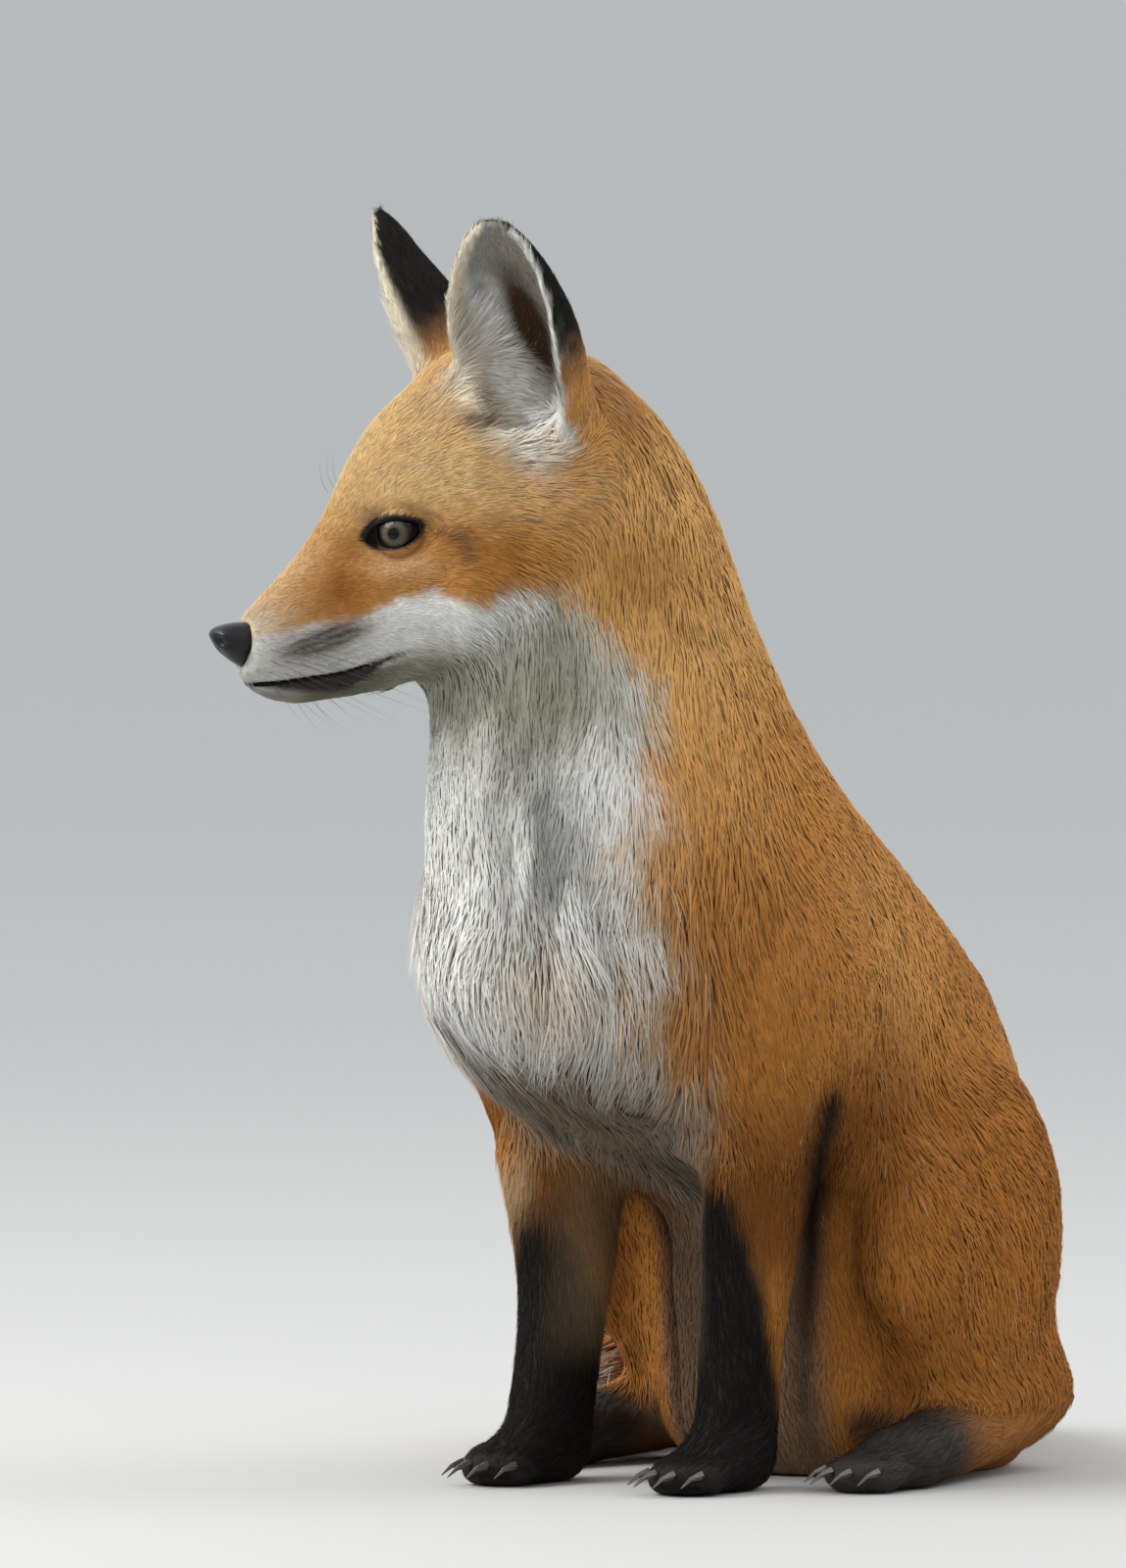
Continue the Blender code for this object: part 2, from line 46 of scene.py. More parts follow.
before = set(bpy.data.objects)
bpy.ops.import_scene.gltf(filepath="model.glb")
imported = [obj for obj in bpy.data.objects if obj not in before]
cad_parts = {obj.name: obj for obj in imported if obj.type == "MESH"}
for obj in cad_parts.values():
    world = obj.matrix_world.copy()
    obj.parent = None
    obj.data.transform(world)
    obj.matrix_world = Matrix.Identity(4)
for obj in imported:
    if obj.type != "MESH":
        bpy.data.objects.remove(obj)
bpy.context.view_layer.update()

CM = 0.01
MM = 0.001
TINY = 1e-9  # added to weights that could all be 0
SMALLEST = 1e-12  # the least length that a vector is divided by
SIDES = {"left": 1, "right": -1}

# The patches of the coat, and the frame's nodes that each one covers.
PATCHES = {
    "head": ["head", "lower_jaw"],
    "ears": ["ear_left", "ear_right"],
    "neck": ["neck"],
    "chest": ["chest"],
    "back": ["rump"],
    "shoulders": ["upper_arm_left", "upper_arm_right"],
    "haunches": ["thigh_left", "thigh_right"],
    "forelegs": ["forearm_left", "forearm_right", "forepaw_left", "forepaw_right"],
    "hind_feet": ["hind_foot_left", "hind_foot_right"],
    "tail": ["tail_base", "tail_middle", "tail_brush"],
}
FLESH = [node for nodes in PATCHES.values() for node in nodes]


# ---------------------------------------------------------------- places on the animal


def middle(node):
    low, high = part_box(node)
    return np.array((low + high) / 2)


UP = np.array([0.0, 0.0, 1.0])
EYE_PLACES = {side: middle(f"eye_{side}") for side in SIDES}
LEFT = EYE_PLACES["left"] - EYE_PLACES["right"]
LEFT = LEFT / np.linalg.norm(LEFT)
AHEAD = np.cross(LEFT, UP)
BROW = (EYE_PLACES["left"] + EYE_PLACES["right"]) / 2 + 0.3 * CM * AHEAD

# The middle of the trunk and neck at each height: height, left, back, in centimetres.
SPINE_HEIGHT = (10.0, 12.4, 14.4, 16.5, 18.5, 20.5, 22.5, 25.0, 27.5, 30.0, 34.5, 41.0)
SPINE_LEFT = (0.0, 0.0, 0.0, 0.0, 0.0, 0.0, 0.0, -0.1, -0.2, -0.5, -1.2, -2.5)
SPINE_BACK = (-3.2, -5.9, -8.3, -10.1, -11.6, -12.7, -13.7, -15.1, -16.2, -16.7, -17.8, -18.9)

# The tail's middle from the rump to the tip: left, back, in centimetres; and how far its lengths blend.
TAIL_LINE = np.array([
    (0.0, 2.0), (-2.6, 6.2), (-7.4, 8.9), (-11.4, 6.1), (-12.9, 0.8), (-11.9, -4.0), (-10.6, -7.4),
])
TAIL_BLEND = 1.2 * CM

# An ear in the head's own directions, in centimetres: forward, left, up.
EAR_BASE = np.array([-4.75, 3.8, 3.9])
EAR_TIP = np.array([-2.4, 5.85, 11.65])
EAR_OPENS = math.radians(42)
EAR_RADIUS = 2.6
EAR_WIDEST = 0.35
EAR_TAPERS = (0.65, 0.85)  # above and below the widest place
EAR_ROUNDNESS = 0.6
EAR_FLATTER = 0.55  # the share of the cup's depth that is gone where it is flattest
EAR_FLATTEST = 0.75  # the height from which the cup is as flat as it gets
EAR_WRAP = (118, 86)  # degrees round the cup to its outer and its inner rim
EAR_OPENER = 0.45  # the share of that wrap which is gone at the tip
EAR_PIT = (1.75, 1.75, 2.3)
EAR_PIT_UP = 1.5

# The closed lips from the front to the corner below the eye: forward, up.
LIPS = np.array([
    (6.0, -5.72), (5.2, -5.64), (4.4, -5.58), (3.5, -5.46), (2.7, -5.35), (1.85, -5.24), (1.2, -5.06),
    (0.3, -4.66), (-0.55, -4.3),
])


def in_head(points):
    """Centimetres forward, left and up from the place between the eyes."""
    away = (points - BROW) / CM
    return away @ AHEAD, away @ LEFT, away @ UP


def head_place(forward, left, up):
    """The point of the world at these centimetres forward, left and up in the head."""
    outer = np.multiply.outer
    return BROW + CM * (outer(forward, AHEAD) + outer(left, LEFT) + outer(up, UP))


def step(values, low, high):
    """0 up to low and 1 from high, with a smooth rise between. With low above high it falls instead."""
    t = np.clip((values - low) / (high - low), 0, 1)
    return t * t * (3 - 2 * t)


def bell(offset, width):
    """1 where the offset is 0, falling off over the width on both sides."""
    return np.exp(-((offset / width) ** 2))


def spot(places, centre, radii):
    """1 at the centre, falling off as a bell over the three radii."""
    return np.exp(-sum(((p - c) / r) ** 2 for p, c, r in zip(places, centre, radii)))


def unit(vectors):
    return vectors / np.maximum(np.linalg.norm(vectors, axis=-1, keepdims=True), SMALLEST)


def flattened(vectors, normals):
    """The vectors without their parts along the normals."""
    return vectors - normals * (vectors * normals).sum(1, keepdims=True)


def waves(points, length, seed, count=9):
    """A smooth field from -1 to 1: sines of about this wave length along random directions, added up."""
    rng = np.random.default_rng(seed)
    ways = unit(rng.normal(size=(count, 3))) * (2 * math.pi / length) * rng.uniform(0.7, 1.4, (count, 1))
    phases = rng.uniform(0, 2 * math.pi, count)
    return np.sin(points @ ways.T + phases).sum(1) / count * 1.9


def around_spine(points):
    """Degrees round the trunk and neck: 0 in front, rising to the fox's left."""
    x, y, z = (points / CM).T
    left = x - np.interp(z, SPINE_HEIGHT, SPINE_LEFT)
    front = np.interp(z, SPINE_HEIGHT, SPINE_BACK) - y
    return np.degrees(np.arctan2(left, front))


def along_tail(points):
    """How far along the tail each point lies, from 0 to 1, and the way that the tail runs there."""
    starts, ways = TAIL_LINE[:-1] * CM, np.diff(TAIL_LINE, axis=0) * CM
    lengths = np.linalg.norm(ways, axis=1)
    away = points[:, None, :2] - starts[None]
    share = np.clip((away * ways).sum(2) / lengths**2, 0, 1)
    gaps = np.linalg.norm(away - share[..., None] * ways, axis=2)
    near = bell(gaps, TAIL_BLEND) + TINY
    near = near / near.sum(1, keepdims=True)
    reached = np.concatenate([[0], np.cumsum(lengths)[:-1]])
    along = (near * (reached + share * lengths)).sum(1) / lengths.sum()
    flow = np.zeros_like(points)
    flow[:, :2] = near @ (ways / lengths[:, None])
    return along, flow


def in_ear(points, sign):
    """A point's place in one ear: height from 0 to 1, across from -1 at the cup's inner rim to 1 at its outer
    one, centimetres outside the middle of its sheet, and the ways up, across and out of the cup."""
    forward, left, up = in_head(points)
    head = np.stack([forward, sign * left, up], 1)
    rise = unit(EAR_TIP - EAR_BASE)
    opens = np.array([math.cos(EAR_OPENS), math.sin(EAR_OPENS), 0.0])
    opens = unit(opens - rise * (opens @ rise))
    across = np.cross(rise, opens)
    away = head - EAR_BASE
    height = away @ rise / np.linalg.norm(EAR_TIP - EAR_BASE)
    clear = np.clip(height, -0.2, 0.99)
    taper = (clear - EAR_WIDEST) / np.where(clear > EAR_WIDEST, *EAR_TAPERS)
    radius = EAR_RADIUS * (1 - taper**2) ** EAR_ROUNDNESS
    raised = np.maximum(clear, 0)
    deep = 1 - EAR_FLATTER * np.minimum(raised / EAR_FLATTEST, 1) ** 1.5
    beside, behind = away @ across, -(away @ opens) / deep
    turn = np.degrees(np.arctan2(beside, behind))
    share = turn / (np.where(turn > 0, *EAR_WRAP) * (1 - EAR_OPENER * raised**8))
    ways = [w[0] * AHEAD + w[1] * sign * LEFT + w[2] * UP for w in (rise, across, opens)]
    return height, share, np.hypot(beside, behind) - radius, *ways


def lip_height(forward):
    """The height of the closed lips at this place along the muzzle."""
    return np.interp(forward, LIPS[::-1, 0], LIPS[::-1, 1])


def near_pit(face):
    """0 at the middle of an ear's pit in the head, 1 on its wall, more outside."""
    return sum(((p - c) / r) ** 2 for p, c, r in zip(face, EAR_BASE + (0, 0, EAR_PIT_UP), EAR_PIT))


# The fold behind each elbow: the way square to its plane, where it lies at each height, and its half width.
CREASE_WAY = (0.766, 0.643)
CREASE_HEIGHTS = (5, 13, 16)
CREASE_PLACES = (-3.9, -3.1, -2.6)
CREASE_WIDTH = 0.55


def from_eye(points):
    """How far each point is from the middle of the nearer eye."""
    gaps = [np.linalg.norm(points - place, axis=1) for place in EYE_PLACES.values()]
    return np.min(gaps, axis=0)


def crease(points):
    """1 along the dark fold behind each elbow, between the foreleg and the thigh, and 0 away from it."""
    x, y, z = (points / CM).T
    off = CREASE_WAY[0] * np.abs(x) + CREASE_WAY[1] * y - np.interp(z, CREASE_HEIGHTS, CREASE_PLACES)
    return bell(off, CREASE_WIDTH) * step(z, 16.4, 14.8) * step(np.abs(x), 2.4, 3.4)


# How pointed an eye's corners are: near the nose, and at the outer end.
LID_POINTS = (1.35, 1.1)


class Lids:
    """One eye's opening: its middle, and the ways out of it, along the slit to the nose, and up across."""

    def __init__(self, side):
        self.sizes = bpy.context.scene.fox_head
        self.centre, self.radius = EYE_PLACES[side], self.sizes.eye_radius
        sideways = SIDES[side] * LEFT
        cosine, sine = math.cos(self.sizes.lids_outward), math.sin(self.sizes.lids_outward)
        level_in = sine * AHEAD - cosine * sideways
        self.out = cosine * AHEAD + sine * sideways
        self.along = math.cos(self.sizes.lids_slant) * level_in - math.sin(self.sizes.lids_slant) * UP
        self.up = math.cos(self.sizes.lids_slant) * UP + math.sin(self.sizes.lids_slant) * level_in

    def local(self, points):
        """How far each point lies along the slit, up across it and out of the eye's middle."""
        away = points - self.centre
        return away @ self.along, away @ self.up, away @ self.out

    def place(self, along, up, out):
        """The point of the world that lies this far along, up and out."""
        outer = np.multiply.outer
        return self.centre + outer(along, self.along) + outer(up, self.up) + outer(out, self.out)

    def reach(self, along, up):
        """Half of the opening's length and height on the side of the middle where this place lies."""
        sizes = self.sizes
        return (np.where(along > 0, sizes.slit_inward, sizes.slit_outward),
                np.where(up > 0, sizes.lid_above, sizes.lid_below))

    def almond(self, turn):
        """The rim at this angle: wide and drawn out towards the nose, rounder above than below."""
        cosine, sine = np.cos(turn), np.sin(turn)
        reach, height = self.reach(cosine, sine)
        pointed = np.abs(sine) ** np.where(cosine > 0, *LID_POINTS)
        peak = self.sizes.peak_inward * np.clip(sine, 0, 1) ** 2
        return reach * cosine + peak, height * np.sign(sine) * pointed

    def share(self, along, up):
        """0 at the middle of the opening, 1 on its rim, more outside."""
        along = along - self.sizes.peak_inward * np.clip(up / self.sizes.lid_above, 0, 1) ** 2
        reach, height = self.reach(along, up)
        inner, outer = LID_POINTS
        power = outer + (inner - outer) * step(along, -4 * MM, 4 * MM)
        flat = (np.abs(up) / height) ** (1 / power)
        return np.sqrt((along / reach) ** 2 + flat**2)

    def lie(self, along, up, clear):
        """How far out the lids lie: this clear of the eyeball, and past it falling away to the corners."""
        ball = self.radius + clear
        over = np.sqrt(np.maximum(ball**2 - along**2 - up**2, 0))
        return np.maximum(over, 0.30 * CM - 0.12 * np.abs(along))


# ---------------------------------------------------------------- meshes from arrays


def new_object(name, points, faces, material=None, colours=None, uv=None, normals=None):
    """A smooth mesh from an array of points and an array of faces of one size. Colours and normals are one
    for each point, and uv one for each corner in order."""
    mesh = bpy.data.meshes.new(name)
    corners = faces.shape[1]
    mesh.vertices.add(len(points))
    mesh.vertices.foreach_set("co", points.astype(np.float32).ravel())
    mesh.loops.add(faces.size)
    mesh.loops.foreach_set("vertex_index", faces.astype(np.int32).ravel())
    mesh.polygons.add(len(faces))
    mesh.polygons.foreach_set("loop_start", np.arange(0, faces.size, corners, dtype=np.int32))
    mesh.update(calc_edges=True)
    if colours is not None:
        layer = mesh.color_attributes.new("Marking", "FLOAT_COLOR", "POINT")
        opaque = np.hstack([colours, np.ones((len(colours), 1))])
        layer.data.foreach_set("color", opaque.astype(np.float32).ravel())
    if uv is not None:
        layer = mesh.uv_layers.new(name="OFBake")
        layer.uv.foreach_set("vector", uv.astype(np.float32).ravel())
    if normals is not None:
        mesh.normals_split_custom_set_from_vertices(normals.astype(np.float32))
    if material:
        mesh.materials.append(material)
    made = bpy.data.objects.new(name, mesh)
    bpy.context.scene.collection.objects.link(made)
    return made


def mesh_arrays(mesh):
    """The mesh's points, and its faces as triangles."""
    mesh.calc_loop_triangles()
    points = np.empty(len(mesh.vertices) * 3, np.float32)
    mesh.vertices.foreach_get("co", points)
    triangles = np.empty(len(mesh.loop_triangles) * 3, np.int32)
    mesh.loop_triangles.foreach_get("vertices", triangles)
    return points.reshape(-1, 3).astype(float), triangles.reshape(-1, 3)


def point_normals(points, triangles):
    """At each point the mean of its triangles' normals by area, and each triangle's area."""
    a, b, c = (points[triangles[:, i]] for i in range(3))
    crosses = np.cross(b - a, c - a)
    total = np.zeros_like(points)
    for axis in range(3):
        total[:, axis] = sum(
            np.bincount(triangles[:, i], crosses[:, axis], len(points)) for i in range(3)
        )
    return unit(total), np.linalg.norm(crosses, axis=1) / 2


def edges_of(triangles):
    pairs = np.sort(np.vstack([triangles[:, [0, 1]], triangles[:, [1, 2]], triangles[:, [2, 0]]]), axis=1)
    return np.unique(pairs, axis=0)


def spread(values, edges, passes, share=0.5):
    """Values at points, each moved towards the mean of its neighbours, as many times as passes says."""
    a, b = edges.T
    count = len(values)
    neighbours = np.bincount(a, minlength=count) + np.bincount(b, minlength=count)
    flat = values.reshape(count, -1).astype(float)
    share = np.broadcast_to(np.asarray(share, float).reshape(-1, 1), (count, 1))
    for _ in range(passes):
        total = np.stack([
            np.bincount(a, column[b], count) + np.bincount(b, column[a], count) for column in flat.T
        ], 1)
        flat = flat + share * (total / np.maximum(neighbours, 1)[:, None] - flat)
    return flat.reshape(values.shape)


def closed_grid(rows, columns, closed_rows=False):
    """The triangles of a grid of points whose columns close into a ring. The rows close into a ring too, or
    the first and the last ring close on the two points that follow the grid's own."""
    r = np.arange(rows if closed_rows else rows - 1)[:, None]
    ring = np.arange(columns)
    after = (ring + 1) % columns
    here, there = r % rows * columns, (r + 1) % rows * columns
    quads = np.stack([here + ring, here + after, there + after, there + ring], -1).reshape(-1, 4)
    triangles = np.vstack([quads[:, [0, 1, 2]], quads[:, [0, 2, 3]]])
    if closed_rows:
        return triangles
    last, end = (rows - 1) * columns, rows * columns
    return np.vstack([
        triangles,
        np.stack([after, ring, np.full(columns, end)], 1),
        np.stack([last + ring, last + after, np.full(columns, end + 1)], 1),
    ])


# How far past its last ring a tube's end point stands, as a share of the radius there.
TUBE_END = 0.6


def tube(path, radii, sides):
    """A closed tube: rings of these radii square to the path, with a point past each end."""
    way = unit(np.gradient(path, axis=0))
    across = unit(np.cross(way, UP))
    over = np.cross(across, way)
    turn = np.linspace(0, 2 * math.pi, sides, endpoint=False)[:, None]
    circle = np.cos(turn) * across[:, None] + np.sin(turn) * over[:, None]
    rings = path[:, None] + radii[:, None, None] * circle
    past = way * radii[:, None] * TUBE_END
    points = np.vstack([rings.reshape(-1, 3), path[:1] - past[:1], path[-1:] + past[-1:]])
    return points, closed_grid(len(path), sides)


def join_arrays(parts):
    """Several (points, faces) as one."""
    offsets = np.cumsum([0] + [len(p) for p, _ in parts[:-1]])
    return np.vstack([p for p, _ in parts]), np.vstack([f + o for (_, f), o in zip(parts, offsets)])


# ---------------------------------------------------------------- finishes


def dimmed(colour, by):
    return tuple(by * part for part in colour)


class Finish:
    """A material, and the few steps that its nodes are built up by."""

    def __init__(self, name, values):
        self.material = bpy.data.materials.new(name)
        self.material.use_nodes = True
        self.tree = self.material.node_tree
        self.surface = self.tree.nodes["Principled BSDF"]
        for socket, value in values.items():
            self.surface.inputs[socket].default_value = value

    def add(self, kind, values=(), **options):
        """A new node of this kind, with these values in its sockets."""
        made = self.tree.nodes.new(kind)
        for option, value in options.items():
            setattr(made, option, value)
        for socket, value in dict(values).items():
            made.inputs[socket].default_value = value
        return made

    def place(self, coordinates, stretch=None, turn=0.0):
        """The piece's own coordinates, or with a stretch the same turned about the vertical and stretched."""
        where = self.add("ShaderNodeTexCoord").outputs[coordinates]
        if stretch is None:
            return where
        mapping = self.add("ShaderNodeMapping", {"Rotation": (0, 0, turn), "Scale": stretch})
        self.tree.links.new(where, mapping.inputs["Vector"])
        return mapping.outputs["Vector"]

    def pattern(self, kind, output, place, values):
        """One output of a pattern at this place."""
        made = self.add(kind, values)
        self.tree.links.new(place, made.inputs["Vector"])
        return made.outputs[output]

    def noise(self, place, scale, detail, roughness=0.5):
        values = {"Scale": scale, "Detail": detail, "Roughness": roughness}
        return self.pattern("ShaderNodeTexNoise", "Fac", place, values)

    def ramp(self, value, stops):
        """The colour at this value, blended between (place, colour) stops."""
        made = self.add("ShaderNodeValToRGB")
        elements = made.color_ramp.elements
        while len(elements) < len(stops):
            elements.new(0.5)
        for element, (place, colour) in zip(elements, stops):
            element.position = place
            element.color = (*colour, 1.0)
        self.tree.links.new(value, made.inputs["Fac"])
        return made.outputs["Color"]

    def shaded(self, colour, grain, low, high):
        """The colour times the grain, which runs from low to high."""
        level = self.add("ShaderNodeMapRange", {"To Min": low, "To Max": high})
        shade = self.add("ShaderNodeVectorMath", operation="SCALE")
        self.tree.links.new(grain, level.inputs["Value"])
        self.tree.links.new(colour, shade.inputs[0])
        self.tree.links.new(level.outputs["Result"], shade.inputs["Scale"])
        return shade.outputs["Vector"]

    def marking(self):
        return self.add("ShaderNodeVertexColor", layer_name="Marking").outputs["Color"]

    def colour(self, output):
        self.tree.links.new(output, self.surface.inputs["Base Color"])

    def bump(self, height, strength, distance, invert=False):
        made = self.add("ShaderNodeBump", {"Strength": strength, "Distance": distance}, invert=invert)
        self.tree.links.new(height, made.inputs["Height"])
        self.tree.links.new(made.outputs["Normal"], self.surface.inputs["Normal"])


def coat_finish():
    """Hair: the markings' colours, slightly uneven and dull."""
    hair = Finish("fox_hair", {"Roughness": 0.7, "Specular IOR Level": 0.1})
    grain = hair.noise(hair.place("Object"), 260.0, 2.0)
    hair.colour(hair.shaded(hair.marking(), grain, 0.82, 1.18))


def skin_finish():
    """The skin and its shortest fur: the markings, with fine strokes along the muzzle's length as bump."""
    skin = Finish("fox_skin", {"Roughness": 0.75, "Specular IOR Level": 0.25})
    muzzle_turn = math.atan2(AHEAD[0], -AHEAD[1]) + math.pi / 2
    strokes = skin.noise(skin.place("Object", (350.0, 1900.0, 1900.0), muzzle_turn), 1.0, 3.0, 0.6)
    skin.colour(skin.shaded(skin.marking(), strokes, 0.72, 1.28))
    skin.bump(strokes, 0.5, 0.0004)


def wet_skin_finish(name, colour, roughness=0.34, pebble=1500.0, shine=0.3):
    """Bare dark skin, pebbled and slightly wet, as on the nose, the lips and the lids."""
    bare = Finish(name, {"Roughness": roughness, "Specular IOR Level": shine})
    cells = bare.pattern("ShaderNodeTexVoronoi", "Distance", bare.place("Object"), {"Scale": pebble})
    # Painted light and shade: each pebble lighter at its middle and darker at its edges.
    bare.colour(bare.ramp(cells, [(0.0, dimmed(colour, 1.9)), (0.6, colour), (1.0, dimmed(colour, 0.4))]))
    bare.bump(cells, 0.4, 0.0002, invert=True)


def eye_finish():
    """A round pupil, a fibrous iris with a dark rim and dark white, under a clear wet coat. V runs from the
    pupil's middle to the back of the eye, and U goes round."""
    colours, sizes = bpy.context.scene.fox_colours, bpy.context.scene.fox_head
    eye = Finish("fox_eye", {
        "Roughness": 0.6, "Specular IOR Level": 0.0, "Coat Weight": 0.4, "Coat Roughness": 0.03,
    })
    split = eye.add("ShaderNodeSeparateXYZ")
    eye.tree.links.new(eye.place("UV"), split.inputs["Vector"])
    pupil = math.asin(sizes.pupil_radius / sizes.eye_radius) / math.pi
    iris = math.asin(sizes.iris_radius / sizes.eye_radius) / math.pi
    light, dark, black = colours.iris_light, colours.iris_dark, (0.002, 0.002, 0.002)
    rings = eye.ramp(split.outputs["Y"], [
        (0.0, black), (pupil * 0.93, black), (pupil * 1.08, dimmed(light, 0.6)), (iris * 0.62, light),
        (iris * 0.88, dark), (iris * 1.0, dimmed(dark, 0.1)), (iris * 1.12, black), (0.5, black),
    ])
    fibres = eye.noise(eye.place("UV", (64.0, 9.0, 1.0)), 1.0, 3.0)
    eye.colour(eye.shaded(rings, fibres, 0.35, 1.7))


def horn_finish():
    """Claws: dark horn with fine lines and paler worn tips."""
    claw = Finish("fox_horn", {"Roughness": 0.4})
    grain = claw.noise(claw.place("Object", (2600.0, 240.0, 2600.0)), 1.0, 2.0)
    horn = bpy.context.scene.fox_colours.horn
    claw.colour(claw.ramp(grain, [(0.3, dimmed(horn, 0.6)), (0.7, dimmed(horn, 1.8))]))
    claw.bump(grain, 0.3, 0.0001)


def whisker_finish():
    """Whiskers: black and slightly glossy."""
    Finish("fox_whisker", {"Base Color": (*bpy.context.scene.fox_colours.whisker, 1), "Roughness": 0.45})


# ---------------------------------------------------------------- the skin

# Points of a node that are nearer than this, in metres, are one point.
MERGED_WITHIN = 1e-6


def node_shell(node, by):
    """One node's surface with its loose triangles merged, moved out along its normals."""
    points, triangles = mesh_arrays(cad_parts[node].data)
    merged, place = np.unique(np.round(points / MERGED_WITHIN).astype(np.int64), axis=0, return_inverse=True)
    points, triangles = merged * MERGED_WITHIN, place.reshape(-1)[triangles]
    triangles = triangles[(np.diff(np.sort(triangles, axis=1), axis=1) > 0).all(1)]
    normals, _ = point_normals(points, triangles)
    return points + by * normals, triangles


def remeshed(points, triangles, voxel):
    """The union of closed shells as one even mesh of quads."""
    shells = new_object("shells", points, triangles)
    remesh = shells.modifiers.new("union", "REMESH")
    remesh.mode = "VOXEL"
    remesh.voxel_size = voxel
    mesh = bpy.data.meshes.new_from_object(shells.evaluated_get(bpy.context.evaluated_depsgraph_get()))
    bpy.data.objects.remove(shells)
    return mesh


def refined(mesh, wanted):
    """The mesh with every face halved both ways where wanted(points) is true at the face's middle."""
    work = bmesh.new()
    work.from_mesh(mesh)
    work.faces.ensure_lookup_table()
    middles = np.array([face.calc_center_median() for face in work.faces])
    chosen = np.flatnonzero(wanted(middles))
    edges = {edge for index in chosen for edge in work.faces[index].edges}
    bmesh.ops.subdivide_edges(work, edges=list(edges), cuts=1, use_grid_fill=True)
    work.to_mesh(mesh)
    work.free()
    return mesh


# What the solids are moved out by before they are joined, and the least height of the skin above the floor.
SHELL_GROWTH = 0.45 * MM
FLOOR_GAP = 0.3 * MM

# The skin is drawn in by the coat's depth in this many steps.
DEPTH_STEPS = 10

# How many times the face, the coat's depth, the borders of the patches, and the lie of the hair are smoothed.
FACE_SMOOTHING = 10
DEPTH_SMOOTHING = 10
BORDER_SMOOTHING = 14
LIE_SMOOTHING = 6

# How many points are compared with the nodes at a time.
BLOCK = 2000

# The slow swirls in the lie of the coat: their wave length and their strength.
SWIRL_LENGTH = 5.0 * CM
SWIRL = 0.24

# Where the nape is drawn in further: its middle and radii in centimetres, and its depth. The folds
# behind the elbows, painted dark as shade, are drawn in too.
NAPE = ((-3.5, -14.0, 38.0), (6.0, 4.5, 5.0))
NAPE_DEPTH = 3.5 * MM
CREASE_DEPTH = 4.0 * MM

# Degrees round the spine between which the chest's coat turns into the back's.
CHEST_TO_BACK = (60, 95)

FIELDS = ("depth", "length", "width", "root_lift", "tip_lift", "lock", "gather")


def near_face(points):
    forward, _, up = in_head(points)
    return (forward > -1.9) & (up < 2.0) & (up > -7.5)


def near_eyes(points):
    return from_eye(points) < 1.9 * CM


def patch_shares(points, edges):
    """How much each patch of the coat has of each point: whole inside it, shared along its borders."""
    samples, patch = [], []
    for index, nodes in enumerate(PATCHES.values()):
        for node in nodes:
            shell, triangles = node_shell(node, 0)
            samples.append(shell[triangles].mean(1))
            patch.append(np.full(len(triangles), index))
    samples, patch = np.vstack(samples).astype(np.float32), np.concatenate(patch)
    nearest = np.concatenate([
        np.argmin((samples**2).sum(1) - 2 * block @ samples.T, axis=1)
        for block in np.array_split(points.astype(np.float32), len(points) // BLOCK + 1)
    ])
    shares = np.eye(len(PATCHES))[patch[nearest]]
    return spread(shares, edges, BORDER_SMOOTHING)


def by_patch(shares):
    """Every patch's share of each point, by the patch's name."""
    return dict(zip(PATCHES, shares.T))


